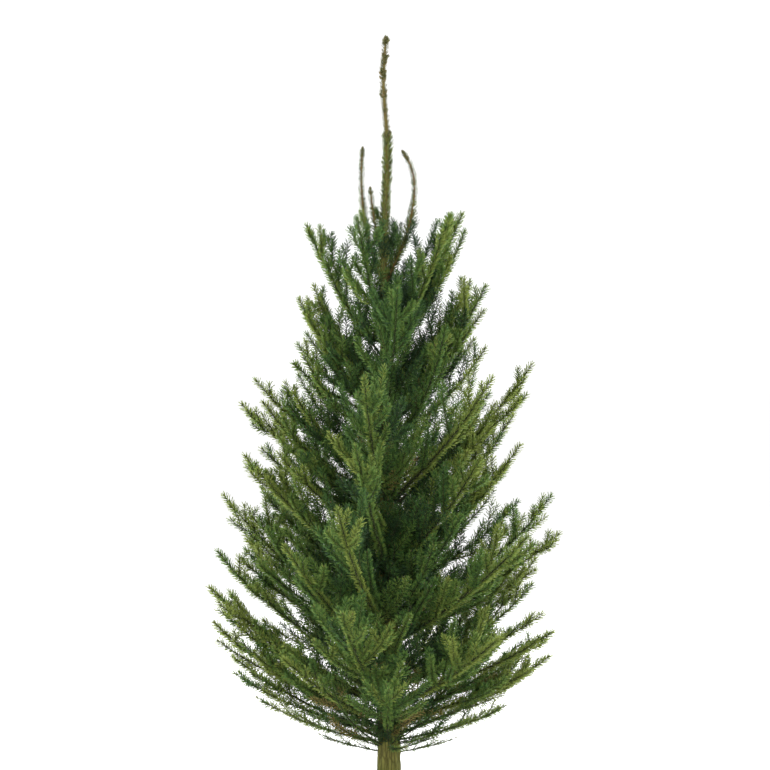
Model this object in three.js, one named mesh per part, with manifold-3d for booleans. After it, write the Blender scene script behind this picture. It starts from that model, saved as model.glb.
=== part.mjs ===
// A cut spruce Christmas tree in a plain steel stand, in millimetres, +Z up.
// The origin is the centre of the flat underside of the stand's bowl, on the floor.
// The trunk leaves the bowl and runs whole through eight whorls of boughs to the foot of its leader.
// Every whorl carries masses of needles: one stem each, with side shoots that branch by a seeded rule.
// A shoot is a slim core with bands of three sprays; each spray stands for a small twig and its needles.
import * as THREE from "three";
import { mergeVertices } from "three/addons/utils/BufferGeometryUtils.js";
import Module from "manifold-3d";

const wasm = await Module();
wasm.setup();

// Driving dimensions of the tree
const treeHeight = 2100; // floor to the tip of the leader
const leaderBase = 1545; // where the bare trunk ends and the needles on the leader start
const leaderYear = 1836; // where the leader's last year of growth starts, which is slimmer
const footRadius = 34.5;
const tipRadius = 2.2;
const taperPower = 1.2;
const flare = 3; // extra radius at the saw cut
const flareHeight = 70;
const gap = 0.3; // clearance where two solids meet
const trunkSides = 12;
const trunkRings = 12;
const seed = 64;

// Driving dimensions of the stand
const bowlRadius = 104;
const bowlHeight = 98;
const bowlWall = 2.5;
const bowlFloor = 4;
const bowlSegments = 24;
const rimBead = 3.6;
const legWidth = 26;
const legThickness = 5;
const legReach = 262;
const screwHeight = 78;
const screwRadius = 4;
const screwHole = 4.6;
const screwEnd = 146;
const bossRadius = 9.5;
const bossLength = 9;
const collarLength = 18; // the screw's thick head, which its handle passes through
const collarExtra = 3.2;
const handleLength = 58;
const handleRadius = 3.4;
const roundSegments = 8; // sides of the screws and handles

// Centre line of the trunk and leader: [height, sideways, depth]
const trunkCourse = [
  [bowlFloor + gap, 0, 0],
  [130, 0, 0],
  [420, 1, 3],
  [900, -6, 2],
  [1300, -11, -3],
  [1555, -14, -2],
  [1800, -4, 2],
  [1984, -16, 0],
  [treeHeight, -8, -2],
];

// Whorls from the lowest up. height is where the boughs leave the trunk. left and right are the
// tips that stand on the crown's outline: [reach from the axis, height above the floor].
// far and near count the boughs behind and in front. turn is the side boughs' azimuth, in degrees.
// bare is the share of a bough that is bare limb, shoots the side shoots on each mass, thick the
// radius of a bough at the trunk, and teeth how far the sprays of needles stand out of their shoot.
const whorls = [
  {
    height: 205, left: [425, 420], right: [390, 385], turn: [9, -8], far: 1, near: 1,
    bare: 0.3, shoots: 7, thick: 6.5, teeth: 38,
  },
  {
    height: 290, left: [478, 620], right: [434, 500], turn: [-12, 10], far: 2, near: 2,
    bare: 0.26, shoots: 8, thick: 8, teeth: 48,
  },
  {
    height: 465, left: [452, 860], right: [464, 752], turn: [12, -12], far: 2, near: 2,
    bare: 0, shoots: 8, thick: 7, teeth: 50,
  },
  {
    height: 640, left: [385, 972], right: [350, 1000], turn: [-10, 12], far: 1, near: 2,
    bare: 0, shoots: 8, thick: 6.5, teeth: 52,
  },
  {
    height: 830, left: [402, 1107], right: [389, 1217], turn: [10, -12], far: 1, near: 2,
    bare: 0, shoots: 8, thick: 6, teeth: 48,
  },
  {
    height: 1050, left: [240, 1390], right: [259, 1425], turn: [-12, 10], far: 2, near: 1,
    bare: 0, shoots: 6, thick: 5.5, teeth: 44,
  },
  {
    height: 1235, left: [222, 1592], right: [197, 1625], turn: [12, -8], far: 1, near: 2,
    bare: 0, shoots: 5, thick: 4.5, teeth: 34,
  },
  {
    height: 1425, left: [72, 1800], right: [42, 1790], turn: [8, -10], far: 1, near: 0,
    bare: 0, shoots: 2, thick: 4.4, teeth: 13,
  },
];
const hooks = { "8_1": 2.4, "8_3": 0.7 }; // the topmost side shoots bow outwards and turn back in
const straightShare = 0.78; // how much of a bough's rise is even; the rest sweeps up at the tip
const spaceAbove = 0.72; // a mass has this share of the space up to the whorl above it
const undersideDrop = 80; // the lowest whorl's masses reach this far under their boughs
const margin = 2.5; // clearance inside a mass's own space

// Shoots
const shootCore = 2.8; // radius of a side shoot's core where it leaves the stem
const shootTip = 1.3;
const spread = 0.8; // a side shoot leaves its stem at this angle, in radians
const shootAngles = [90, 188, -8, 70, 160, 20, 112, 215, -35]; // round the stem, in degrees
const lastShoot = 0.8; // the last side shoot's place along the bough
const leadingFrom = 0.62; // where the sprays on the bough's own tip start
const uprightFrom = 0.3; // the same on the topmost side shoots, which carry close short sprays
const closeTeeth = 15; // sprays shorter than this lie close
const longShoot = 225; // a longer side shoot has a third band of sprays
const shortestShoot = 62;
const sideLengths = [1, 0.84, 0.7, 0.56, 0.44]; // a shoot that would leave its mass's space is shortened
const sideTurns = [0, 0.6, -0.6]; // or first turned round the stem, in radians
const limbEnd = 4.6; // radius where a bare limb meets its mass

// A seeded generator of numbers from 0 to 1
function randomFrom(start) {
  let state = start >>> 0;
  return () => {
    state = (state + 0x6d2b79f5) >>> 0;
    let t = Math.imul(state ^ (state >>> 15), 1 | state);
    t = (t + Math.imul(t ^ (t >>> 7), 61 | t)) ^ t;
    return ((t ^ (t >>> 14)) >>> 0) / 4294967296;
  };
}

// Geometry to solid and back
function toSolid(geometry) {
  const bare = geometry.index ? geometry.toNonIndexed() : geometry.clone();
  bare.deleteAttribute("normal");
  bare.deleteAttribute("uv");
  const merged = mergeVertices(bare, 1e-3);
  return new wasm.Manifold(
    new wasm.Mesh({
      numProp: 3,
      vertProperties: merged.attributes.position.array,
      triVerts: new Uint32Array(merged.index.array),
    }),
  );
}

function toGeometry(solid) {
  const mesh = solid.getMesh();
  const geometry = new THREE.BufferGeometry();
  geometry.setAttribute("position", new THREE.BufferAttribute(mesh.vertProperties, 3));
  geometry.setIndex(new THREE.BufferAttribute(mesh.triVerts, 1));
  geometry.computeVertexNormals();
  return geometry;
}

// The largest closed body of a solid: a hollow that fusing sealed is filled, and a loose scrap dropped
function onePiece(solid) {
  return solid.decompose().sort((a, b) => b.volume() - a.volume())[0];
}

const verticalAxis = new THREE.Vector3(0, 0, 1);
const depthAxis = new THREE.Vector3(0, 1, 0);

// A curve's point, tangent and two cross directions at t, with side level when reference is vertical
function frameAt(curve, t, reference) {
  const point = curve.getPoint(t);
  const tangent = curve.getTangent(t);
  const side = new THREE.Vector3().crossVectors(tangent, reference).normalize();
  const up = new THREE.Vector3().crossVectors(side, tangent);
  return { point, tangent, side, up };
}

// A tapering limb: a closed cylinder whose height follows the curve from t = start to t = end
function limb(curve, radiusAt, sides, rings, reference, start = 0, end = 1) {
  const geometry = new THREE.CylinderGeometry(1, 1, 1, sides, rings);
  const position = geometry.attributes.position;
  for (let i = 0; i < position.count; i++) {
    const t = THREE.MathUtils.lerp(start, end, position.getY(i) + 0.5);
    const frame = frameAt(curve, t, reference);
    const radius = radiusAt(t);
    const placed = frame.point
      .clone()
      .addScaledVector(frame.side, position.getX(i) * radius)
      .addScaledVector(frame.up, position.getZ(i) * radius);
    position.setXYZ(i, placed.x, placed.y, placed.z);
  }
  return geometry;
}

// Trunk
const trunkLine = new THREE.CatmullRomCurve3(
  trunkCourse.map(([z, x, y]) => new THREE.Vector3(x, y, z)),
);

function trunkShareAt(height) {
  let low = 0;
  let high = 1;
  for (let i = 0; i < 24; i++) {
    const middle = (low + high) / 2;
    if (trunkLine.getPoint(middle).z < height) low = middle;
    else high = middle;
  }
  return low;
}

function trunkRadius(height) {
  const left = Math.max(0, 1 - height / treeHeight);
  return tipRadius + (footRadius - tipRadius) * left ** taperPower + flare * Math.exp(-height / flareHeight);
}

const leaderShare = trunkShareAt(leaderBase);

function trunkSolid(extra, end) {
  const radiusAt = (t) => trunkRadius(trunkLine.getPoint(t).z) + extra;
  return toSolid(limb(trunkLine, radiusAt, trunkSides, trunkRings, depthAxis, 0, end));
}

const trunk = trunkSolid(0, leaderShare);
const trunkClear = trunkSolid(gap, leaderShare);

// A bough's centre line: out from the trunk's axis to its tip, with an even rise and an upswept end
class BoughLine extends THREE.Curve {
  constructor({ axis, azimuth, reach, height, tipHeight, drift, hook }) {
    super();
    Object.assign(this, { axis, azimuth, reach, height, tipHeight, drift, hook });
  }
  getPoint(t) {
    const azimuth = this.azimuth + this.drift * t * t;
    const rise = (this.tipHeight - this.height) * (straightShare * t + (1 - straightShare) * t ** 3);
    const out = this.reach * (t * (1 + this.hook) - this.hook * t ** 3);
    return new THREE.Vector3(
      this.axis.x * (1 - t) + out * Math.cos(azimuth),
      this.axis.y * (1 - t) + out * Math.sin(azimuth),
      this.height + rise,
    );
  }
}

// Reach and tip height of a whorl's boughs, blended round the crown from its right tip to its left
function blendedTip(whorl, azimuth) {
  const share = (1 - Math.cos(azimuth)) / 2;
  return {
    reach: THREE.MathUtils.lerp(whorl.right[0], whorl.left[0], share),
    tipHeight: THREE.MathUtils.lerp(whorl.right[1], whorl.left[1], share),
  };
}

// Height of a whorl's surface over a point that lies radius from the axis, at that azimuth
function tierHeight(whorl, radius, azimuth) {
  const { reach, tipHeight } = blendedTip(whorl, azimuth);
  const t = radius / reach;
  const rise = tipHeight - whorl.height;
  if (t <= 1) return whorl.height + rise * (straightShare * t + (1 - straightShare) * t ** 3);
  const endSlope = straightShare + 3 * (1 - straightShare);
  return tipHeight + rise * endSlope * (t - 1);
}

function floorOf(index, radius, azimuth) {
  if (index === 0) return tierHeight(whorls[0], radius, azimuth) - undersideDrop;
  const below = tierHeight(whorls[index - 1], radius, azimuth);
  return THREE.MathUtils.lerp(below, tierHeight(whorls[index], radius, azimuth), spaceAbove);
}

function ceilingOf(index, radius, azimuth) {
  return index === whorls.length - 1 ? Infinity : floorOf(index + 1, radius, azimuth);
}

// The azimuths of one whorl's boughs, anticlockwise from the right-hand one
function azimuthsOf(whorl, random) {
  const right = THREE.MathUtils.degToRad(whorl.turn[0]);
  const left = Math.PI + THREE.MathUtils.degToRad(whorl.turn[1]);
  const spread = (from, to, count) =>
    Array.from({ length: count }, (_, i) => {
      const step = (to - from) / (count + 1);
      return from + step * (i + 1 + (count > 1 ? 0.25 : 0) + 0.24 * (random() - 0.5));
    });
  return [right, ...spread(right, left, whorl.far), left, ...spread(left, right + 2 * Math.PI, whorl.near)];
}

// True if every corner of a geometry lies inside the mass's own space
function insideSpace(geometry, space) {
  const position = geometry.attributes.position;
  for (let i = 0; i < position.count; i++) {
    const x = position.getX(i) - space.axis.x;
    const y = position.getY(i) - space.axis.y;
    const z = position.getZ(i);
    const radius = Math.hypot(x, y);
    let turn = Math.atan2(y, x) - space.azimuth;
    turn -= 2 * Math.PI * Math.round(turn / (2 * Math.PI));
    const azimuth = Math.atan2(y, x);
    if (radius * Math.sin(space.after - turn) < margin) return false;
    if (radius * Math.sin(turn + space.before) < margin) return false;
    if (turn > space.after || turn < -space.before) return false;
    if (radius < trunkRadius(z) + 3 * margin) return false;
    if (z < floorOf(space.index, radius, azimuth) + margin) return false;
    if (z > ceilingOf(space.index, radius, azimuth) - margin) return false;
    if (radius > space.reach) return false;
  }
  return true;
}

// A shoot along a curve: a slim three-sided core, bare at first, then bands with a needle on each side.
// A needle is a slender pyramid whose foot is one face of the core and whose point leans forward.
function shootGeometry(curve, { start, bareBands, needleBands, bareEnd, radiusAt, needle, twist }) {
  const sides = 3;
  const points = [];
  const faces = [];
  const put = (t, angle, radius) => {
    const frame = frameAt(curve, t, verticalAxis);
    const placed = frame.point
      .addScaledVector(frame.side, Math.cos(angle) * radius)
      .addScaledVector(frame.up, Math.sin(angle) * radius);
    points.push(placed.x, placed.y, placed.z);
    return points.length / 3 - 1;
  };
  const stations = [start];
  for (let i = 1; i <= bareBands; i++) stations.push(start + ((bareEnd - start) * i) / bareBands);
  const lastRing = 1 - (1 - bareEnd) / (needleBands + 1);
  for (let i = 1; i <= needleBands; i++) stations.push(bareEnd + ((lastRing - bareEnd) * i) / needleBands);
  const turnAt = (ring) => twist * ring;
  const rings = stations.map((t, ring) =>
    Array.from({ length: sides }, (_, j) => put(t, turnAt(ring) - (2 * Math.PI * j) / sides, radiusAt(t))),
  );
  const tip = put(1, 0, 0);
  faces.push(rings[0][0], rings[0][2], rings[0][1]);
  for (let k = 0; k < rings.length - 1; k++) {
    for (let j = 0; j < sides; j++) {
      const next = (j + 1) % sides;
      const [a, b, c, d] = [rings[k][j], rings[k][next], rings[k + 1][next], rings[k + 1][j]];
      if (k < bareBands) {
        faces.push(a, b, c, a, c, d);
        continue;
      }
      const band = stations[k + 1] - stations[k];
      const along = Math.min(0.995, stations[k + 1] + 0.3 * band);
      const shrink = 1 - 0.35 * ((stations[k] - bareEnd) / (1 - bareEnd));
      const angle = turnAt(k + 0.5) - (2 * Math.PI * (j + 0.5)) / sides;
      const point = put(along, angle, radiusAt(along) + needle * shrink);
      faces.push(a, b, point, b, c, point, c, d, point, d, a, point);
    }
  }
  const end = rings[rings.length - 1];
  for (let j = 0; j < sides; j++) faces.push(end[j], end[(j + 1) % sides], tip);
  const geometry = new THREE.BufferGeometry();
  geometry.setAttribute("position", new THREE.Float32BufferAttribute(points, 3));
  geometry.setIndex(faces);
  return geometry;
}

// A side shoot's line: it leaves the stem at that angle round it, then sweeps forward and up.
// Angle 0 is one side of the stem, a quarter turn is above it and a half turn the other side.
function sideLine(stemLine, t, angle, length) {
  const frame = frameAt(stemLine, t, verticalAxis);
  const leaving = frame.tangent
    .clone()
    .multiplyScalar(Math.cos(spread))
    .addScaledVector(frame.side, Math.cos(angle) * Math.sin(spread))
    .addScaledVector(frame.up, Math.sin(angle) * Math.sin(spread));
  const ending = leaving
    .clone()
    .addScaledVector(frame.tangent, 0.35)
    .addScaledVector(verticalAxis, 0.45)
    .normalize();
  const middle = frame.point.clone().addScaledVector(leaving, length * 0.5);
  const end = middle.clone().addScaledVector(ending, length * 0.5);
  return new THREE.QuadraticBezierCurve3(frame.point, middle, end);
}

// One side shoot that keeps to the space, or nothing where none fits
function sideShoot(bough, t, angle, fullLength, shape, space) {
  for (const share of sideLengths) {
    const length = fullLength * share;
    if (length < shortestShoot) return null;
    for (const turn of sideTurns) {
      const shoot = shootGeometry(sideLine(bough, t, angle + turn, length), {
        start: 0,
        bareBands: 1,
        needleBands: length > longShoot ? 3 : 2,
        bareEnd: 0.14,
        ...shape,
      });
      if (insideSpace(shoot, space)) return shoot;
    }
  }
  return null;
}

// One mass of needles: its stem and leading shoot in one piece, with side shoots fused on
function needleMass(bough, whorl, space, random) {
  const boughLength = bough.getLength();
  const stemRadius = whorl.bare ? limbEnd : whorl.thick;
  const upright = whorl.teeth < closeTeeth;
  const radiusAt = (t) => {
    const share = Math.max(0, (t - whorl.bare) / (1 - whorl.bare));
    return THREE.MathUtils.lerp(stemRadius, shootTip, share);
  };
  const insideTrunk = (0.35 * trunkRadius(bough.height)) / (bough.reach * (1 + bough.hook));
  const leading = shootGeometry(bough, {
    start: whorl.bare ? whorl.bare + gap / boughLength : insideTrunk,
    bareBands: 2,
    needleBands: upright ? 6 : 4,
    bareEnd: upright ? uprightFrom : leadingFrom,
    radiusAt,
    needle: whorl.teeth,
    twist: 0.35,
  });
  let solid = toSolid(leading);
  const clearOfTrunk = Math.max(0.14, (1.9 * trunkRadius(bough.height)) / bough.reach);
  const first = whorl.bare ? whorl.bare + 0.05 : clearOfTrunk;
  for (let i = 0; i < whorl.shoots; i++) {
    const t = THREE.MathUtils.lerp(first, lastShoot, i / Math.max(1, whorl.shoots - 1));
    const angle = THREE.MathUtils.degToRad(shootAngles[i % shootAngles.length]) + 0.3 * (random() - 0.5);
    const fullLength = (60 + boughLength * (0.5 - 0.3 * t)) * (0.9 + 0.25 * random());
    const shape = {
      radiusAt: (s) => THREE.MathUtils.lerp(Math.min(shootCore, radiusAt(t) * 0.6), shootTip, s),
      needle: whorl.teeth,
      twist: 0.2 + 0.3 * random(),
    };
    const shoot = sideShoot(bough, t, angle, fullLength, shape, space);
    if (shoot) solid = solid.add(toSolid(shoot));
  }
  return onePiece(whorl.bare ? solid : solid.subtract(trunkClear));
}

// Materials
const bark = new THREE.MeshStandardMaterial({ color: 0x6e5a3c, roughness: 0.92, metalness: 0 });
const boughBark = new THREE.MeshStandardMaterial({ color: 0x6b5436, roughness: 0.9, metalness: 0 });
const needles = new THREE.MeshStandardMaterial({ color: 0x47602c, roughness: 0.6, metalness: 0 });
const enamel = new THREE.MeshStandardMaterial({ color: 0x24402c, roughness: 0.4, metalness: 0.2 });
const zinc = new THREE.MeshStandardMaterial({ color: 0xa9aba8, roughness: 0.38, metalness: 1 });

const tree = new THREE.Group();

function addNode(name, solid, material) {
  const mesh = new THREE.Mesh(toGeometry(solid), material);
  mesh.name = name;
  tree.add(mesh);
  return mesh;
}

addNode("trunk", trunk, bark);

// Boughs and masses, whorl by whorl
const random = randomFrom(seed);
whorls.forEach((whorl, index) => {
  const axis = trunkLine.getPoint(trunkShareAt(whorl.height));
  const azimuths = azimuthsOf(whorl, random);
  const count = azimuths.length;
  azimuths.forEach((azimuth, i) => {
    const before = azimuths[(i + count - 1) % count] - (i === 0 ? 2 * Math.PI : 0);
    const after = azimuths[(i + 1) % count] + (i === count - 1 ? 2 * Math.PI : 0);
    const onOutline = i === 0 || i === whorl.far + 1;
    const label = `${index + 1}_${i + 1}`;
    const tip = blendedTip(whorl, azimuth);
    const vary = onOutline ? 0 : random() - 0.5;
    const reach = (tip.reach / (onOutline ? Math.abs(Math.cos(azimuth)) : 1)) * (1 + 0.12 * vary);
    const bough = new BoughLine({
      axis,
      azimuth,
      reach,
      height: whorl.height + 24 * (random() - 0.5),
      tipHeight: tip.tipHeight + 60 * vary,
      drift: onOutline ? 0 : 0.16 * (random() - 0.5),
      hook: hooks[label] ?? 0,
    });
    if (whorl.bare) {
      const thickness = (t) => THREE.MathUtils.lerp(whorl.thick, limbEnd, t / whorl.bare);
      const root = (0.4 * trunkRadius(whorl.height)) / reach;
      const woody = toSolid(limb(bough, thickness, 6, 3, verticalAxis, root, whorl.bare));
      addNode(`bough_${label}`, woody.subtract(trunkClear), boughBark);
    }
    const space = {
      index,
      axis,
      azimuth,
      before: (azimuth - before) / 2,
      after: (after - azimuth) / 2,
      reach: reach * (1 + 0.3 * bough.hook),
    };
    addNode(`needles_${label}`, needleMass(bough, whorl, space, random), needles);
  });
});

// The leader stands on the trunk's tip: its needles lie close, and its last year of growth is slimmer
const leaderGap = gap / trunkLine.getLength();
const leaderYearShare = trunkShareAt(leaderYear);
const leaderWood = trunkRadius(leaderBase);
function leaderRadius(t) {
  if (t > leaderYearShare) return THREE.MathUtils.mapLinear(t, leaderYearShare, 1, 4, 2.6);
  return THREE.MathUtils.mapLinear(t, leaderShare, leaderYearShare, leaderWood, 5.5);
}
addNode(
  "leader_shoot",
  toSolid(
    shootGeometry(trunkLine, {
      start: leaderShare + leaderGap,
      bareBands: 1,
      needleBands: 15,
      bareEnd: leaderShare + 0.006,
      radiusAt: leaderRadius,
      needle: 9,
      twist: 0.9,
    }),
  ),
  needles,
);

// Stand: a pressed bowl with a rolled rim
function turned(profile) {
  const geometry = new THREE.LatheGeometry(
    profile.map(([radius, height]) => new THREE.Vector2(radius, height)),
    bowlSegments,
    Math.PI / bowlSegments,
  );
  geometry.rotateX(Math.PI / 2);
  return geometry;
}

// A cylinder of that radius that lies along a ray from the axis, between two distances from it
function radialRod(radius, from, to, height, azimuth, segments) {
  const rod = new THREE.CylinderGeometry(radius, radius, to - from, segments);
  rod.rotateZ(-Math.PI / 2);
  rod.translate((from + to) / 2, 0, height);
  rod.rotateZ(azimuth);
  return toSolid(rod);
}

const innerRadius = bowlRadius - bowlWall;
const beadTop = bowlHeight + rimBead;
const beadMiddle = bowlRadius + rimBead * 0.4;
let bowl = toSolid(
  turned([
    [0, 0],
    [bowlRadius - 9, 0],
    [bowlRadius, 9],
    [bowlRadius, bowlHeight - rimBead],
    [beadMiddle + rimBead, bowlHeight],
    [beadMiddle, beadTop],
    [innerRadius, bowlHeight],
    [innerRadius, 12],
    [innerRadius - 8, bowlFloor],
    [0, bowlFloor],
  ]),
);
const quarterTurns = [0, 1, 2, 3].map((k) => (k * Math.PI) / 2);
for (const azimuth of quarterTurns) {
  const boss = radialRod(bossRadius, bowlRadius - 1.5, bowlRadius + bossLength, screwHeight, azimuth, 6);
  const hole = radialRod(screwHole, bowlRadius - 20, bowlRadius + 30, screwHeight, azimuth, 12);
  bowl = bowl.add(boss).subtract(hole);
}
addNode("stand_bowl", bowl, enamel);

// Clamping screws with a cross handle
quarterTurns.forEach((azimuth, k) => {
  const headEnd = screwEnd + 2;
  const headStart = headEnd - collarLength;
  const rod = radialRod(screwRadius, footRadius / 2, screwEnd, screwHeight, azimuth, roundSegments);
  const head = radialRod(screwRadius + collarExtra, headStart, headEnd, screwHeight, azimuth, roundSegments);
  const bar = new THREE.CylinderGeometry(handleRadius, handleRadius, handleLength, roundSegments);
  bar.translate((headStart + headEnd) / 2, 0, screwHeight);
  bar.rotateZ(azimuth);
  addNode(`clamp_screw_${k + 1}`, rod.add(head).add(toSolid(bar)).subtract(trunkClear), zinc);
});

// Legs: flat bar, flat against the bowl, then out and down to a foot on the floor
function legOutline() {
  const half = legThickness / 2;
  const inner = bowlRadius * Math.cos(Math.PI / bowlSegments) + gap; // flat against one of the bowl's facets
  const outer = inner + legThickness;
  const shape = new THREE.Shape();
  shape.moveTo(inner, 90);
  shape.lineTo(inner, 40);
  shape.quadraticCurveTo(inner + 2, 30, inner + 12, 27);
  shape.lineTo(legReach - 44, legThickness - half);
  shape.lineTo(legReach - 36, 0);
  shape.lineTo(legReach, 0);
  shape.lineTo(legReach, legThickness);
  shape.lineTo(legReach - 34, legThickness);
  shape.lineTo(inner + 16, 27 + legThickness * 1.3);
  shape.quadraticCurveTo(outer + 1, 36, outer, 46);
  shape.lineTo(outer, 90);
  shape.closePath();
  return shape;
}

quarterTurns.forEach((turn, k) => {
  const leg = new THREE.ExtrudeGeometry(legOutline(), {
    depth: legWidth,
    bevelEnabled: false,
    curveSegments: 3,
  });
  leg.translate(0, 0, -legWidth / 2);
  leg.rotateX(Math.PI / 2);
  leg.rotateZ(turn + Math.PI / 4);
  addNode(`stand_leg_${k + 1}`, toSolid(leg), enamel);
});

export default tree;
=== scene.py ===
"""A cut spruce Christmas tree in a plain steel stand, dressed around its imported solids.

Lengths are in millimetres unless a name says otherwise, +Z up, with the origin under the middle
of the stand's bowl. The boughs repeat the rule and the seed of the part's own source, and the rule
is then carried on to finer twigs within the same reach. A line is an array of points along the
middle of a shoot, and a share is a part of a length, from 0 to 1.
"""
import math

import bpy
import numpy as np
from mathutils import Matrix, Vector, noise


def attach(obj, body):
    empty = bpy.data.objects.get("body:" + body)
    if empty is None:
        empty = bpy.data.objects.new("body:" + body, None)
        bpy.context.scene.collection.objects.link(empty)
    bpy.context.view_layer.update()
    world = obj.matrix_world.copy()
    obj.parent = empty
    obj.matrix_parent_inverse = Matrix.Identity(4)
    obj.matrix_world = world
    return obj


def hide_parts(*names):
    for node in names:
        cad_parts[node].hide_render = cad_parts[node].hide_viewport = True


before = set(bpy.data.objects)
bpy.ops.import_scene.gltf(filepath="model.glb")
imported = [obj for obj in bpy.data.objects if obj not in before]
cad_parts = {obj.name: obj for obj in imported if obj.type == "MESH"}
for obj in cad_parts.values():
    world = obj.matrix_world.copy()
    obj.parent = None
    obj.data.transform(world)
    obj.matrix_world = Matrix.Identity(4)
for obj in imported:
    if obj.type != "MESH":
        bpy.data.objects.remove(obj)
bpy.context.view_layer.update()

MM = 0.001
SEED = 64  # the source's own seed, which places every bough
TWIG_SEED = 2026
LINE_POINTS = 17
VERTICAL = np.array((0.0, 0.0, 1.0))
GOLDEN_SHARE = 0.618
GOLDEN_TURN = math.pi * (3 - math.sqrt(5))

# The tree's driving dimensions, as in the part's source
TREE_HEIGHT = 2100
LEADER_BASE = 1545
LEADER_YEAR = 1836
FOOT_RADIUS = 34.5
TIP_RADIUS = 2.2
TAPER_POWER = 1.2
FLARE = 3
FLARE_HEIGHT = 70
BOWL_FLOOR = 4
GAP = 0.3  # the trunk's play on the bowl's floor and under the screws
FOOT_HEIGHT = BOWL_FLOOR + GAP

# Centre line of the trunk and leader: height, sideways, depth
TRUNK_COURSE = [
    (FOOT_HEIGHT, 0, 0),
    (130, 0, 0),
    (420, 1, 3),
    (900, -6, 2),
    (1300, -11, -3),
    (1555, -14, -2),
    (1800, -4, 2),
    (1984, -16, 0),
    (TREE_HEIGHT, -8, -2),
]

# Whorls from the lowest up, as in the source. left and right are the tips on the crown's outline:
# reach from the axis and height above the floor. far and near count the boughs behind and in front.
WHORL_VALUES = ("height", "left", "right", "turn", "far", "near", "bare", "shoots", "thick")
WHORLS = [
    dict(zip(WHORL_VALUES, row))
    for row in (
        (205, (425, 420), (390, 385), (9, -8), 1, 1, 0.3, 7, 6.5),
        (290, (478, 620), (434, 500), (-12, 10), 2, 2, 0.26, 8, 8),
        (465, (452, 860), (464, 752), (12, -12), 2, 2, 0, 8, 7),
        (640, (385, 972), (350, 1000), (-10, 12), 1, 2, 0, 8, 6.5),
        (830, (402, 1107), (389, 1217), (10, -12), 1, 2, 0, 8, 6),
        (1050, (240, 1390), (259, 1425), (-12, 10), 2, 1, 0, 6, 5.5),
        (1235, (222, 1592), (197, 1625), (12, -8), 1, 2, 0, 5, 4.5),
        (1425, (72, 1800), (42, 1790), (8, -10), 1, 0, 0, 2, 4.4),
    )
]
TOP_TIER = len(WHORLS) - 1  # the upright side shoots beside the leader
HOOKS = {"8_1": 2.4, "8_3": 0.7}  # the topmost side shoots bow outwards and turn back in
# The right one of them curls: height and sideways
CURLED = "8_1"
CURL = [(1425, -12), (1552, 43), (1606, 59), (1687, 70), (1736, 65), (1768, 54), (1790, 38)]
STRAIGHT_SHARE = 0.78  # how much of a bough's rise is even; the rest sweeps up at the tip
SHOOT_ANGLES = [90, 188, -8, 70, 160, 20, 112, 215, -35]  # round the stem, in degrees
LAST_SHOOT = 0.8
# The source's rule for a bough: how much its turn, reach, foot, tip and drift vary
TURN_VARY = 0.24
REACH_VARY = 0.12
FOOT_VARY = 24
TIP_VARY = 60
DRIFT_VARY = 0.16
# and for its side shoots: where the first one stands, and how long they are
FIRST_SHOOT = 0.14
FIRST_SHOOT_RADII = 1.9  # or this many radii of the trunk from its axis
AFTER_BARE = 0.05
SHOOT_ANGLE_VARY = 0.3
SHOOT_LEAST = 60
SHOOT_SHARE = 0.5
SHOOT_SHARE_LOSS = 0.3  # how much less that is at the bough's tip
SHOOT_VARY = (0.9, 0.25)  # the least factor, and the range above it

LEFT, RIGHT = -1, 1

# Boughs between the whorls that the solids leave out: side, then height on the trunk, reach and tip height
BETWEEN_BOUGHS = [
    (LEFT, [
        (168, 190, 214), (190, 343, 322), (250, 474, 527), (262, 455, 470), (385, 462, 715),
        (560, 372, 800), (925, 357, 1174), (1145, 205, 1430),
    ]),
    (RIGHT, [
        (166, 180, 208), (186, 240, 262), (198, 324, 312), (250, 427, 432), (372, 383, 621),
        (540, 450, 869), (700, 313, 940), (760, 346, 1080), (900, 370, 1134), (1010, 258, 1260),
        (1150, 219, 1439), (1255, 204, 1574), (1330, 127, 1601),
    ]),
    (LEFT, [
        (500, 335, 672), (520, 405, 752), (800, 345, 990), (1030, 216, 1175), (1070, 252, 1218),
        (1120, 226, 1300),
    ]),
    (RIGHT, [
        (372, 402, 548), (490, 398, 655), (610, 345, 845), (640, 285, 872), (1060, 190, 1240),
        (1170, 236, 1385),
    ]),
    (LEFT, [
        (1490, 50, 1690), (930, 250, 1188), (890, 282, 1152), (850, 340, 1114), (760, 172, 948),
        (620, 362, 878),
    ]),
    (RIGHT, [
        (1085, 236, 1285), (590, 200, 748), (300, 346, 488),
    ]),
    (LEFT, [
        (820, 300, 1068), (745, 262, 960), (690, 330, 930), (860, 205, 1040), (965, 205, 1165),
        (900, 262, 1140), (1000, 232, 1240), (1090, 240, 1268), (1150, 222, 1352), (470, 380, 722),
        (452, 396, 690), (300, 440, 545), (430, 322, 664), (290, 352, 502), (214, 414, 384),
    ]),
    (RIGHT, [
        (1120, 248, 1362), (1110, 222, 1312), (400, 412, 682), (330, 332, 592), (262, 346, 468),
        (268, 400, 442), (690, 278, 902),
    ]),
]
BETWEEN_TURN = 16  # they stand up to this many degrees out of the outline's plane
BETWEEN_STRAIGHT = 0.62  # the even share of their rise
BETWEEN_DRIFT = 0.2  # how far one bends aside, in radians at its tip
BETWEEN_FIRST = 0.2  # where their side branches start
BETWEEN_FIRST_RADII = 2
BETWEEN_THICK = 3.4
SHORT_THICK = 0.4  # a short one has this share of it, and more by its reach over the next value
THICKENING_REACH = 500
OLD_THICK = 2.4

# Boughs all round the crown from one whorl to the next: how many, and the ranges of their height as a share
# from whorl to whorl, of their reach as a share of the whorls', and of their tip's height beside the rule's
ROUND_BOUGHS = [6, 6, 6, 6, 5, 4]
ROUND_HEIGHTS = (0.25, 0.8)
ROUND_REACHES = (0.6, 0.97)
ROUND_TIPS = (-40, 25)
ROUND_WANDER = 0.3

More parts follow.
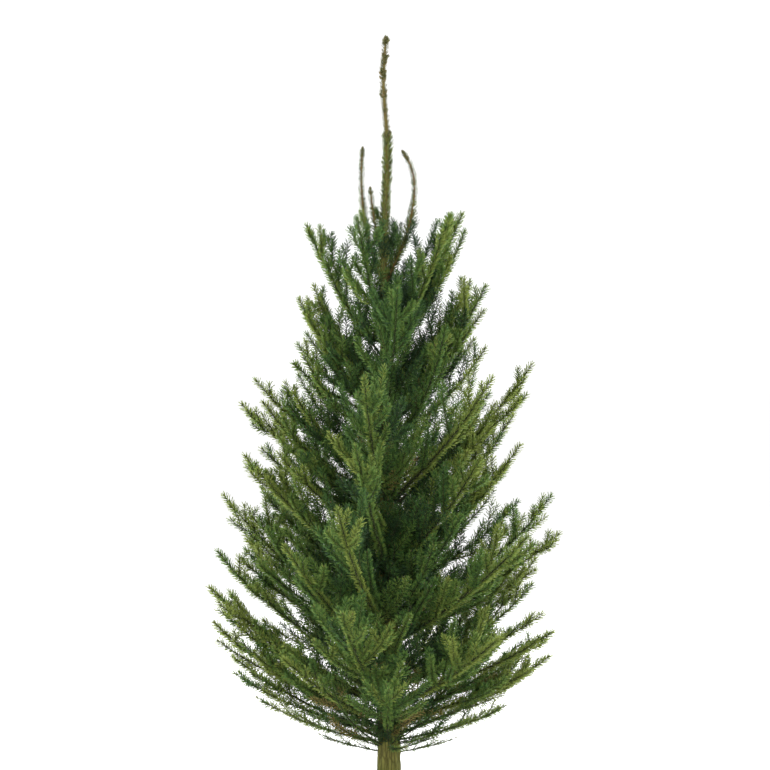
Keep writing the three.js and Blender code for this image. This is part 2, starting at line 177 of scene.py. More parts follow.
# Families of boughs. turn is the middle of the way they point and how far they spread to each side of it,
# in degrees; those without it stand all round, a number of golden turns apart. reach is in millimetres, or
# a share of the outline's reach at a height above the bough's foot, and top_reach is what is left of it at
# the crown's top. slope is the rise to the reach.
FRONT = -90
BACK = 90
UPSWEPT = dict(heights=(178, 960), jitter=0.8, share=(0.38, 0.8), above=200, slope=(0.55, 0.85))
CROWN_TOP = 1400
FAMILIES = [
    # upswept boughs in front of the trunk, low in the crown, and fewer behind it
    dict(UPSWEPT, count=17, turn=(FRONT, 44)),
    dict(UPSWEPT, count=8, turn=(BACK, 44)),
    # thin old boughs, low down all round the trunk
    dict(count=18, heights=(166, 262), jitter=0.9, golden_turns=1, wander=0.2, share=(0.45, 0.86), above=40,
         slope=(0.14, 0.42), thick=OLD_THICK),
    # short thin shoots that hide the trunk's front just under the crown
    dict(count=12, heights=(176, 236), jitter=0.9, turn=(FRONT, 62), reach=(85, 165), slope=(0.3, 0.8),
         thick=OLD_THICK),
    # short boughs that close the crown round the trunk, shorter towards its top
    dict(count=30, heights=(190, 1350), jitter=1, golden_turns=2, wander=0.3, reach=(110, 210),
         top_reach=0.7, slope=(0.2, 0.9)),
]
LOOSE_HEIGHT = 180  # the boughs below this height are old, thin and nearly bare

# Gaps where the photograph shows sky through the crown: sideways, height, half length, half width, and the
# long side's slope in degrees
SKY_GAPS = [
    (300, 1165, 66, 36, 75), (104, 1530, 58, 16, 90), (-150, 1372, 50, 14, 90), (-388, 880, 48, 26, 90),
    (345, 975, 34, 28, 90), (138, 737, 18, 11, 90), (-60, 1010, 13, 9, 90), (52, 905, 16, 10, 90),
    (100, 1085, 15, 9, 90), (-95, 1112, 26, 16, -55), (-158, 1190, 18, 9, -60), (-236, 1021, 16, 10, 0),
    (-304, 981, 18, 11, -35), (-117, 913, 32, 9, -20), (-118, 857, 14, 8, 0), (-305, 525, 120, 15, -31),
    (-375, 410, 75, 11, -31), (-267, 604, 45, 11, -30), (318, 463, 42, 16, 20), (255, 396, 34, 10, 15),
    (330, 540, 56, 9, 12), (-215, 298, 42, 8, -20), (157, 298, 32, 8, 20), (-120, 262, 24, 7, -22),
    (118, 258, 22, 7, 20),
]
GAP_SHARE = 0.17  # a shoot with more of its length than this in a gap is left out

# The dark hollow in the crown's front: sideways, height, half width and half height
HOLLOW = (6, 738, 70, 98)
HOLLOW_START = -150  # it lies in front of this depth
# Short upswept shoots round the trunk's front fill the back of the hollow, and start lower than it does
HOLLOW_DROP = 90
HOLLOW_SHOOTS = dict(
    count=24, heights=(HOLLOW[1] - HOLLOW_DROP - HOLLOW[3], HOLLOW[1] - HOLLOW_DROP + HOLLOW[3]),
    jitter=0.9, turn=(FRONT, 85), reach=(85, 150), slope=(0.6, 1.2))

# The crown's outline, which side shoots keep to: height above the floor and reach from the axis
LEFT_OUTLINE = [
    (190, 150), (256, 243), (310, 335), (391, 418), (472, 456), (526, 478), (634, 486), (715, 472),
    (769, 418), (850, 435), (904, 429), (931, 385), (1039, 362), (1110, 408), (1201, 356), (1228, 265),
    (1363, 240), (1471, 170), (1579, 224), (1633, 92), (1795, 78), (1830, 20),
]
RIGHT_OUTLINE = [
    (190, 140), (256, 240), (310, 324), (391, 381), (445, 429), (540, 421), (634, 383), (715, 416),
    (742, 464), (877, 451), (904, 325), (985, 305), (1093, 346), (1228, 392), (1282, 259), (1417, 262),
    (1525, 173), (1620, 200), (1660, 75), (1795, 60), (1830, 20),
]
OUTLINE_SLACK = 8
SIDE_LENGTHS = [1, 0.84, 0.7, 0.56, 0.44]  # a shoot that would leave the outline is shortened in these steps

# Side branches, whorl by whorl where there is a list: the source's shoots first, then finer ones between them
OWN_SHOOT_SHARE = 0.72
UPRIGHT_SHOOT_SHARE = 0.4  # the topmost side shoots carry only short fingers, on their lower part
UPRIGHT_BRANCH_SHARE = 0.1
UPRIGHT_PART = 0.6
BRANCH_SPACING = [28, 28, 30, 30, 30, 30, 30, 60]
FIRST_BRANCH_SHARE = 0.7  # they start nearer the axis than the source's first shoot
BRANCH_LEAST = 44
TIP_LEAST = 0.5  # the least length falls to this share of it over the last part of a bough
TIP_PART = 0.25
BRANCH_POWER = 0.8
BRANCH_VARY = (0.75, 1.2)
BRANCH_ANGLE_VARY = 0.5
BRANCH_SHARE = 0.25
BRANCH_SHORTEST = 30
LAST_BRANCH = 0.94
FINE_ANGLES = [8, 172, 60, 190, -12, 125, 20, 160, 90]
FLATNESS = [0.75, 0.5, 0.2, 0.1, 0, 0, 0, 0]  # the lowest boughs branch almost level
FRONT_FLATNESS = 0.2  # how much of that is left in front
BRANCH_LIFT = [0.22, 0.36, 0.66, 0.85, 0.9, 0.95, 0.95, 0.6]  # how strongly side branches turn up
FRONT_LIFT = 0.35  # and how much more in front, where they show as fingers
BRANCH_SPREAD = (0.6, 1.0)  # radians off the stem
BRANCH_FORWARD = 0.3
TWIG_ANGLES = [0, 180, 60, 125, 20, 160]
TWIG_ANGLE_VARY = 28
TWIG_VARY = (0.75, 1.25)
TWIG_SPREAD_VARY = 0.15
PLACE_VARY = (0.2, 0.8)  # where in its stretch of the stem a shoot stands


class SourceRandom:
    """The source's seeded generator of numbers from 0 to 1."""

    def __init__(self, start):
        self.state = start

    def __call__(self):
        word = 0xFFFFFFFF
        self.state = (self.state + 0x6D2B79F5) & word
        t = ((self.state ^ (self.state >> 15)) * (1 | self.state)) & word
        t = ((t + (((t ^ (t >> 7)) * (61 | t)) & word)) & word) ^ t
        return ((t ^ (t >> 14)) & word) / 4294967296


def lerp(start, end, share):
    """The value at a share of the way from start to end."""
    return start + (end - start) * share


# Trunk

course_points = np.array([(x, y, z) for z, x, y in TRUNK_COURSE], float)


def trunk_point(t):
    """A point on the trunk's centre line: a centripetal spline through the course."""
    last = len(course_points) - 1
    place = min(t, 1.0) * last
    index = min(int(place), last - 1)
    weight = place - index
    p1, p2 = course_points[index], course_points[index + 1]
    p0 = course_points[index - 1] if index > 0 else 2 * p1 - p2
    p3 = course_points[index + 2] if index + 2 <= last else 2 * p2 - p1
    d0, d1, d2 = (max(1e-4, np.linalg.norm(b - a)) ** 0.5 for a, b in ((p0, p1), (p1, p2), (p2, p3)))
    leave = ((p1 - p0) / d0 - (p2 - p0) / (d0 + d1) + (p2 - p1) / d1) * d1
    arrive = ((p2 - p1) / d1 - (p3 - p1) / (d1 + d2) + (p3 - p2) / d2) * d1
    square, cube = weight**2, weight**3
    return (
        p1
        + leave * weight
        + (3 * (p2 - p1) - 2 * leave - arrive) * square
        + (2 * (p1 - p2) + leave + arrive) * cube
    )


def trunk_share_at(height):
    """The share of the trunk's centre line at which it reaches a height."""
    low, high = 0.0, 1.0
    for _ in range(24):
        middle = (low + high) / 2
        if trunk_point(middle)[2] < height:
            low = middle
        else:
            high = middle
    return low


def trunk_radius(height):
    """The trunk's radius at a height: a taper, with a flare at the foot."""
    left = np.maximum(0, 1 - height / TREE_HEIGHT)
    flare = FLARE * np.exp(-height / FLARE_HEIGHT)
    return TIP_RADIUS + (FOOT_RADIUS - TIP_RADIUS) * left**TAPER_POWER + flare


# Boughs

def blended_tip(whorl, azimuth):
    """Reach and height of a tip, blended round from the whorl's right one to its left one."""
    share = (1 - math.cos(azimuth)) / 2
    reach = lerp(whorl["right"][0], whorl["left"][0], share)
    tip_height = lerp(whorl["right"][1], whorl["left"][1], share)
    return reach, tip_height


def azimuths_of(whorl, random):
    """The ways that a whorl's boughs point: right, behind, left, and in front."""
    right = math.radians(whorl["turn"][0])
    left = math.pi + math.radians(whorl["turn"][1])

    def spread_out(start, end, count):
        step = (end - start) / (count + 1)
        first = 1.25 if count > 1 else 1
        return [start + step * (i + first + TURN_VARY * (random() - 0.5)) for i in range(count)]

    behind = spread_out(right, left, whorl["far"])
    in_front = spread_out(left, right + 2 * math.pi, whorl["near"])
    return [right, *behind, left, *in_front]


def bough_points(axis, azimuth, reach, height, tip_height, drift=0.0, hook=0.0, straight=STRAIGHT_SHARE):
    """A bough's centre line, from the trunk's axis to its tip."""
    t = np.linspace(0, 1, LINE_POINTS)
    turned = azimuth + drift * t * t
    rise = (tip_height - height) * (straight * t + (1 - straight) * t**3)
    out = reach * (t * (1 + hook) - hook * t**3)
    x = axis[0] * (1 - t) + out * np.cos(turned)
    y = axis[1] * (1 - t) + out * np.sin(turned)
    return np.stack((x, y, height + rise), axis=1)


def line_length(points):
    """The length of a line of points."""
    return float(np.linalg.norm(np.diff(points, axis=0), axis=1).sum())


def source_boughs():
    """Every bough of the solids, from the same draws, with the side shoots that the source gives it."""
    random = SourceRandom(SEED)
    boughs = []
    for tier, whorl in enumerate(WHORLS):
        axis = trunk_point(trunk_share_at(whorl["height"]))
        for i, azimuth in enumerate(azimuths_of(whorl, random)):
            on_outline = i in (0, whorl["far"] + 1)
            label = f"{tier + 1}_{i + 1}"
            reach, tip_height = blended_tip(whorl, azimuth)
            vary = 0 if on_outline else random() - 0.5
            reach = reach / (abs(math.cos(azimuth)) if on_outline else 1) * (1 + REACH_VARY * vary)
            height = whorl["height"] + FOOT_VARY * (random() - 0.5)
            drift = 0 if on_outline else DRIFT_VARY * (random() - 0.5)
            hook = HOOKS.get(label, 0)
            points = bough_points(axis, azimuth, reach, height, tip_height + TIP_VARY * vary, drift, hook)
            if label == CURLED:
                points[:, 0] = np.interp(points[:, 2], *np.array(CURL, float).T)
            length = line_length(points)
            clear = max(FIRST_SHOOT, FIRST_SHOOT_RADII * float(trunk_radius(height)) / reach)
            first = whorl["bare"] + AFTER_BARE if whorl["bare"] else clear
            shoots = []
            for k in range(whorl["shoots"]):
                t = lerp(first, LAST_SHOOT, k / max(1, whorl["shoots"] - 1))
                angle = math.radians(SHOOT_ANGLES[k % len(SHOOT_ANGLES)])
                angle += SHOOT_ANGLE_VARY * (random() - 0.5)
                shoot_length = SHOOT_LEAST + length * (SHOOT_SHARE - SHOOT_SHARE_LOSS * t)
                shoot_length *= SHOOT_VARY[0] + SHOOT_VARY[1] * random()
                random()  # the source draws its twist here
                shoots.append((t, angle, shoot_length))
            boughs.append(dict(tier=tier, points=points, length=length, azimuth=azimuth, first=first,
                               bare=whorl["bare"], thick=whorl["thick"], shoots=shoots))
    return boughs


def between_bough(height, azimuth, reach, tip_height, draw, thick=None):
    """A bough that the solids leave out, with no side shoots of the source's."""
    axis = trunk_point(trunk_share_at(height))
    drift = BETWEEN_DRIFT * draw.uniform(-1, 1)
    points = bough_points(axis, azimuth, reach, height, tip_height, drift, straight=BETWEEN_STRAIGHT)
    tier = max(k for k, whorl in enumerate(WHORLS) if whorl["height"] <= max(height, WHORLS[0]["height"]))
    first = max(BETWEEN_FIRST, BETWEEN_FIRST_RADII * float(trunk_radius(height)) / reach)
    if thick is None:
        thick = BETWEEN_THICK * min(1, SHORT_THICK + reach / THICKENING_REACH)
    return dict(tier=tier, points=points, length=line_length(points), azimuth=azimuth, first=first,
                bare=0, thick=thick, shoots=[])


def round_boughs(draw):
    """Boughs all round the crown, between one whorl and the next."""
    boughs = []
    for low, high, count in zip(WHORLS, WHORLS[1:], ROUND_BOUGHS):
        start = draw.uniform(0, 2 * math.pi)
        for k in range(count):
            azimuth = start + 2 * math.pi * (k + ROUND_WANDER * draw.uniform(-1, 1)) / count
            share = draw.uniform(*ROUND_HEIGHTS)
            low_reach, low_tip = blended_tip(low, azimuth)
            high_reach, high_tip = blended_tip(high, azimuth)
            height = lerp(low["height"], high["height"], share)
            full_reach = lerp(low_reach, high_reach, share)
            reach = full_reach * draw.uniform(*ROUND_REACHES)
            tip_height = lerp(height, lerp(low_tip, high_tip, share), reach / full_reach)
            tip_height += draw.uniform(*ROUND_TIPS)
            boughs.append(between_bough(height, azimuth, reach, tip_height, draw))
    return boughs


def bough_family(rule, draw):
    """Boughs spread evenly over a stretch of the trunk."""
    boughs = []
    for k in range(rule["count"]):
        height = lerp(*rule["heights"], (k + draw.uniform(0, rule["jitter"])) / rule["count"])
        if "turn" in rule:
            middle, spread = rule["turn"]
            azimuth = math.radians(middle + spread * ((k * GOLDEN_SHARE) % 1 * 2 - 1))
        else:
            azimuth = k * GOLDEN_TURN * rule["golden_turns"] + draw.uniform(-rule["wander"], rule["wander"])
        if "share" in rule:
            reach = draw.uniform(*rule["share"]) * outline_reach(height + rule["above"], azimuth)
        else:
            reach = draw.uniform(*rule["reach"]) * lerp(1, rule.get("top_reach", 1), height / CROWN_TOP)
        tip_height = height + reach * draw.uniform(*rule["slope"])
        boughs.append(between_bough(height, azimuth, reach, tip_height, draw, rule.get("thick")))
    return boughs


def between_boughs(draw):
    """Boughs between the whorls: one for each tip that the outline still needs, and more round the crown."""
    boughs = []
    for side, rows in BETWEEN_BOUGHS:
        for height, reach, tip_height in rows:
            turn = math.radians(BETWEEN_TURN) * draw.uniform(-1, 1)
            azimuth = turn if side == RIGHT else math.pi + turn
            boughs.append(between_bough(height, azimuth, reach / math.cos(turn), tip_height, draw))
    boughs += round_boughs(draw)
    for rule in FAMILIES:
        boughs += bough_family(rule, draw)
    return boughs


# Side shoots at every scale

def unit(vectors):
    """The same vectors at a length of 1."""
    return vectors / np.maximum(np.linalg.norm(vectors, axis=-1, keepdims=True), 1e-9)


def frames_at(lines, rows, t):
    """Point, tangent, level side and upward side of lines[rows] at share t of their length."""
    place = np.clip(t, 0, 1) * (LINE_POINTS - 1)
    index = np.minimum(place.astype(int), LINE_POINTS - 2)
    weight = (place - index)[:, None]
    start, end = lines[rows, index], lines[rows, index + 1]
    tangent = unit(end - start)
    side = unit(np.cross(tangent, VERTICAL))
    return start + (end - start) * weight, tangent, side, np.cross(side, tangent)


def side_lines(stems, rows, t, angle, length, spread, forward, lift):
    """The source's rule for a side shoot: off the stem at an angle round it, then forward and up."""
    point, tangent, side, up = frames_at(stems, rows, t)
    around = np.cos(angle)[:, None] * side + np.sin(angle)[:, None] * up
    leaving = tangent * np.cos(spread)[:, None] + around * np.sin(spread)[:, None]
    lift = np.broadcast_to(lift, len(rows))[:, None]
    ending = unit(leaving + tangent * forward + VERTICAL * lift)
    half = (length / 2)[:, None]
    middle = point + leaving * half
    end = middle + ending * half
    s = np.linspace(0, 1, LINE_POINTS)[None, :, None]
    return point[:, None] * (1 - s) ** 2 + middle[:, None] * (2 * s * (1 - s)) + end[:, None] * s**2


def outline_reach(height, azimuth):
    """How far the crown reaches from its axis at a height, blended round from its right side to its left."""
    right = np.interp(height, *np.array(RIGHT_OUTLINE, float).T)
    left = np.interp(height, *np.array(LEFT_OUTLINE, float).T)
    return lerp(right, left, (1 - np.cos(azimuth)) / 2)


def in_sky_gap(lines):
    """Which lines run through a gap that shows sky."""
    found = np.zeros(len(lines), bool)
    for x, z, half_length, half_width, slope in SKY_GAPS:
        turn = math.radians(slope)
        across, upward = lines[:, :, 0] - x, lines[:, :, 2] - z
        along = across * math.cos(turn) + upward * math.sin(turn)
        aside = upward * math.cos(turn) - across * math.sin(turn)
        inside = (along / half_length) ** 2 + (aside / half_width) ** 2 < 1
        found |= inside.mean(axis=1) > GAP_SHARE
    return found


def in_hollow(lines):
    """Which lines run through the hollow in the crown's front."""
    x, z, half_width, half_height = HOLLOW
    inside = ((lines[:, :, 0] - x) / half_width) ** 2 + ((lines[:, :, 2] - z) / half_height) ** 2 < 1
    return (inside & (lines[:, :, 1] < HOLLOW_START)).mean(axis=1) > GAP_SHARE


def shortened(lines, length, shortest):
    """Lines cut back to the crown's outline in the source's steps, and which of them are left."""
    fits = np.zeros(len(lines), bool)
    share = np.ones(len(lines))
    for step in SIDE_LENGTHS:
        end = lines[:, 0] + (lines[:, -1] - lines[:, 0]) * step
        radius = np.hypot(end[:, 0], end[:, 1])
        inside = radius < outline_reach(end[:, 2], np.arctan2(end[:, 1], end[:, 0])) + OUTLINE_SLACK
        share[inside & ~fits] = step
        fits |= inside
    kept = fits & ~in_sky_gap(lines) & ~in_hollow(lines) & (length * share >= shortest)
    lines = lines[:, :1] + (lines - lines[:, :1]) * share[:, None, None]
    return lines[kept], (length * share)[kept], kept


def branches_of(bough, draw):
    """Place, angle and length of every side branch of a bough."""
    upright = bough["tier"] == TOP_TIER
    part = UPRIGHT_PART if upright else 1
    own_share = UPRIGHT_SHOOT_SHARE if upright else OWN_SHOOT_SHARE
    found = [(t * part, angle, length * own_share) for t, angle, length in bough["shoots"]]
    first = bough["bare"] if bough["bare"] else bough["first"] * FIRST_BRANCH_SHARE
    last = LAST_BRANCH * part
    count = int(bough["length"] * (last - first) / BRANCH_SPACING[bough["tier"]])
    for k in range(count):
        t = lerp(first, last, (k + draw.uniform(*PLACE_VARY)) / count)
        angle = math.radians(FINE_ANGLES[k % len(FINE_ANGLES)]) + BRANCH_ANGLE_VARY * draw.uniform(-1, 1)
        share = UPRIGHT_BRANCH_SHARE if upright else BRANCH_SHARE
        least = BRANCH_LEAST * min(1, lerp(TIP_LEAST, 1, (1 - t) / TIP_PART))
        length = least + bough["length"] * share * (1 - t) ** BRANCH_POWER
        length *= draw.uniform(*BRANCH_VARY)
        found.append((t, angle, length))
    return found


def grow_branches(boughs, draw):
    """Side branches of every bough. Returns their lines, their lengths and each one's bough."""
    found = [(row, *branch) for row, bough in enumerate(boughs) for branch in branches_of(bough, draw)]
    rows = np.array([row for row, _, _, _ in found])
    places, angles, lengths = np.array([branch for _, *branch in found]).T
    tiers = np.array([bough["tier"] for bough in boughs])[rows]
    front = np.maximum(0, -np.sin([boughs[row]["azimuth"] for row in rows])) ** 2
    flat = np.array(FLATNESS)[tiers] * (1 - (1 - FRONT_FLATNESS) * front)
    angles = np.arctan2(np.sin(angles) * (1 - flat), np.cos(angles))
    stems = np.array([bough["points"] for bough in boughs])
    spread = draw.uniform(*BRANCH_SPREAD, len(rows))
    lift = np.array(BRANCH_LIFT)[tiers] + FRONT_LIFT * front
    lines = side_lines(stems, rows, places, angles, lengths, spread, BRANCH_FORWARD, lift)
    lines, lengths, kept = shortened(lines, lengths, BRANCH_SHORTEST)
    return lines, lengths, rows[kept]


def grow_twigs(
    stems, stem_lengths, draw, spacing, first, last, least, share, shortest, spread, forward, lift
):
    """Twigs along both sides and the top of their stems, shorter towards the stems' tips."""
    counts = np.maximum((stem_lengths * (last - first) / spacing).astype(int), 0)
    rows = np.repeat(np.arange(len(stems)), counts)
    order = np.arange(len(rows)) - np.repeat(np.cumsum(counts) - counts, counts)
    t = first + (last - first) * (order + draw.uniform(*PLACE_VARY, len(rows))) / counts[rows]
    around = np.array(TWIG_ANGLES, float)[(order + rows) % len(TWIG_ANGLES)]
    angle = np.radians(around + draw.uniform(-TWIG_ANGLE_VARY, TWIG_ANGLE_VARY, len(rows)))
    length = (least + stem_lengths[rows] * share * (1 - t)) * draw.uniform(*TWIG_VARY, len(rows))
    spreads = draw.uniform(spread - TWIG_SPREAD_VARY, spread + TWIG_SPREAD_VARY, len(rows))
    lines = side_lines(stems, rows, t, angle, length, spreads, forward, lift)
    lines, length, kept = shortened(lines, length, shortest)
    return lines, length, rows[kept]


# Meshes from arrays

def new_piece(name, points, triangles, material):
    """A mesh object at the origin from points in millimetres."""
    mesh = bpy.data.meshes.new(name)
    mesh.vertices.add(len(points))
    mesh.vertices.foreach_set("co", (np.asarray(points, float) * MM).astype(np.float32).ravel())
    mesh.loops.add(len(triangles) * 3)
    mesh.loops.foreach_set("vertex_index", np.asarray(triangles, np.int32).ravel())
    mesh.polygons.add(len(triangles))
    mesh.polygons.foreach_set("loop_start", np.arange(0, len(triangles) * 3, 3, dtype=np.int32))
    mesh.update(calc_edges=True)
    mesh.materials.append(material)
    piece = bpy.data.objects.new(name, mesh)
    bpy.context.scene.collection.objects.link(piece)
    return piece


def bark_noise(point):
    """Coarse bumps with finer ones on them, at a point in millimetres."""
    return noise.noise(Vector(point) / 7) + 0.5 * noise.noise(Vector(point) / 3)


def tubes(lines, foot_radius, tip_radius, rings, sides, relief=0.0):
    """Closed tapering tubes along lines, each ending in a point."""
    count = len(lines)
    rows = np.repeat(np.arange(count), rings)
    share = np.tile(np.linspace(0, 1, rings + 1)[:-1], count)
    point, tangent, side, up = frames_at(lines, rows, share)
    radius = lerp(np.broadcast_to(foot_radius, count)[rows], tip_radius, share)[:, None]
    angle = 2 * math.pi * np.arange(sides) / sides
    ring = np.cos(angle)[None, :, None] * side[:, None] + np.sin(angle)[None, :, None] * up[:, None]
    if relief:
        bumps = np.array([bark_noise(p) for p in (point[:, None] + ring * 12).reshape(-1, 3)])
        radius = radius * (1 + relief * bumps.reshape(len(rows), sides))
    radius = np.broadcast_to(radius, ring.shape[:2])
    body = (point[:, None] + ring * radius[:, :, None]).reshape(count, -1, 3)
    points = np.concatenate((body, lines[:, -1:]), axis=1)
    pattern = []
    for k in range(rings - 1):
        for j in range(sides):
            a, b = k * sides + j, k * sides + (j + 1) % sides
            pattern += [(a, b, b + sides), (a, b + sides, a + sides)]
    last = (rings - 1) * sides
    pattern += [(last + j, last + (j + 1) % sides, rings * sides) for j in range(sides)]
    pattern += [(0, j + 1, j) for j in range(1, sides - 1)]
    step = rings * sides + 1
    faces = np.array(pattern)[None] + (np.arange(count) * step)[:, None, None]
    return points.reshape(-1, 3), faces.reshape(-1, 3)


TUFT = 9  # the last stretch of a shoot, where its needles close over the tip
TUFT_SHORTER = 0.25
NEEDLE_TURN_VARY = 0.4
NEEDLE_LEAN_VARY = 9
NEEDLE_VARY = (0.82, 1.15)
NEEDLE_LIFT = 0.06
NEEDLE_SINK = 0.8  # a needle starts at this share of the wood's radius
NEEDLE_TIP_SHARE = 0.75  # a needle's width at its tip, across the other way, to its width at its foot
SPIKE_FACES = np.array([(0, 1, 3), (1, 0, 2), (0, 3, 2), (1, 2, 3)])


def needle_spikes(lines, lengths, wood, first, density, needle_length, lean_base, lean_tip, draw, width):
    """Needles round every line: closed spikes of four faces that lean forward, and a tuft at the tip.

    wood is the radius of the shoot at its two ends. Returns the corner points, four to a needle, and the line
    that each needle stands on.
    """
    counts = np.maximum(np.round(lengths * (1 - first) * density), 0).astype(int)
    rows = np.repeat(np.arange(len(lines)), counts)
    order = np.arange(len(rows)) - np.repeat(np.cumsum(counts) - counts, counts)
    along = (order + draw.uniform(0, 1, len(rows))) / counts[rows]
    t = first[rows] + (1 - first[rows]) * along
    point, tangent, side, up = frames_at(lines, rows, t)
    turn = order * GOLDEN_TURN + draw.uniform(0, 2 * math.pi, len(lines))[rows]
    turn += draw.uniform(-NEEDLE_TURN_VARY, NEEDLE_TURN_VARY, len(rows))
    end_part = np.clip((t * lengths[rows] - lengths[rows] + TUFT) / TUFT, 0, 1)
    lean = lerp(lean_base[rows], lean_tip[rows], end_part)
    lean = np.radians(lean + draw.uniform(-NEEDLE_LEAN_VARY, NEEDLE_LEAN_VARY, len(rows)))
    around = np.cos(turn)[:, None] * side + np.sin(turn)[:, None] * up
    point = point + around * (NEEDLE_SINK * lerp(wood[rows, 0], wood[rows, 1], t))[:, None]
    ahead = unit(tangent * np.cos(lean)[:, None] + around * np.sin(lean)[:, None] + VERTICAL * NEEDLE_LIFT)
    size = needle_length[rows] * draw.uniform(*NEEDLE_VARY, len(rows)) * (1 - TUFT_SHORTER * end_part)
    across = unit(np.cross(ahead, around))
    third = np.cross(ahead, across)
    roll = draw.uniform(0, 2 * math.pi, len(rows))
    wide = (across * np.cos(roll)[:, None] + third * np.sin(roll)[:, None]) * (width[rows] / 2)[:, None]
    thick = np.cross(ahead, wide) * NEEDLE_TIP_SHARE
    tip = point + ahead * size[:, None]
    return np.stack((point - wide, point + wide, tip - thick, tip + thick), axis=1), rows


def spikes_piece(name, corners, material):
    """One piece of needles from their corner points, four to a needle."""
    faces = SPIKE_FACES[None] + (np.arange(len(corners)) * 4)[:, None, None]
    return new_piece(name, corners.reshape(-1, 3), faces.reshape(-1, 3), material)


# Materials

def shade(code):
    """A linear colour from its sRGB hex value."""
    parts = [int(code[i : i + 2], 16) / 255 for i in (1, 3, 5)]
    linear = [v / 12.92 if v <= 0.04045 else ((v + 0.055) / 1.055) ** 2.4 for v in parts]
    return (*linear, 1.0)


def add_node(material, kind, settings=None, links=None):
    """A shader node with its settings and, for each of its inputs, the socket that feeds it."""
    tree = material.node_tree
    node = tree.nodes.new("ShaderNode" + kind)
    for key, value in (settings or {}).items():
        if isinstance(key, int) or key in node.inputs:
            node.inputs[key].default_value = value
        else:
            setattr(node, key, value)
    for key, socket in (links or {}).items():
        tree.links.new(socket, node.inputs[key])
    return node


def new_material(name, settings):
    """A material with only its shader and output, and the shader node."""
    material = bpy.data.materials.new(name)
    material.use_nodes = True
    material.node_tree.nodes.clear()
    shader = add_node(material, "BsdfPrincipled", settings)
    add_node(material, "OutputMaterial", links={"Surface": shader.outputs["BSDF"]})
    material.diffuse_color = settings["Base Color"]
    return material, shader


def connected(material, shader, colour, gloss, bump=None):
    """The material, with its shader's colour, roughness and normal fed by these nodes."""
    links = material.node_tree.links
    links.new(colour.outputs["Result"], shader.inputs["Base Color"])
    links.new(gloss.outputs[0], shader.inputs["Roughness"])
    if bump is not None:
        links.new(bump.outputs["Normal"], shader.inputs["Normal"])
    return material


def needle_material(name, dark, light):
    """Waxy needles: a matt green that shifts from one tuft of needles to the next."""
    material, shader = new_material(
        name, {"Base Color": shade(dark), "Roughness": 0.6, "Specular IOR Level": 0.25})
    place = add_node(material, "TexCoord").outputs["Object"]
    # tufts of needles lie about 12 mm apart
    tufts = add_node(material, "TexNoise", {"Scale": 1 / (12 * MM), "Detail": 1.0}, {"Vector": place})
    colour = add_node(material, "Mix", {"data_type": "RGBA", "A": shade(dark), "B": shade(light)},
                      {"Factor": tufts.outputs["Fac"]})
    # the wax wears off in patches of about 4 mm, which then shine a little more
    wax = add_node(material, "TexNoise", {"Scale": 1 / (4 * MM), "Detail": 2.0}, {"Vector": place})
    gloss = add_node(material, "MapRange", {"To Min": 0.5, "To Max": 0.72}, {"Value": wax.outputs["Fac"]})
    return connected(material, shader, colour, gloss)


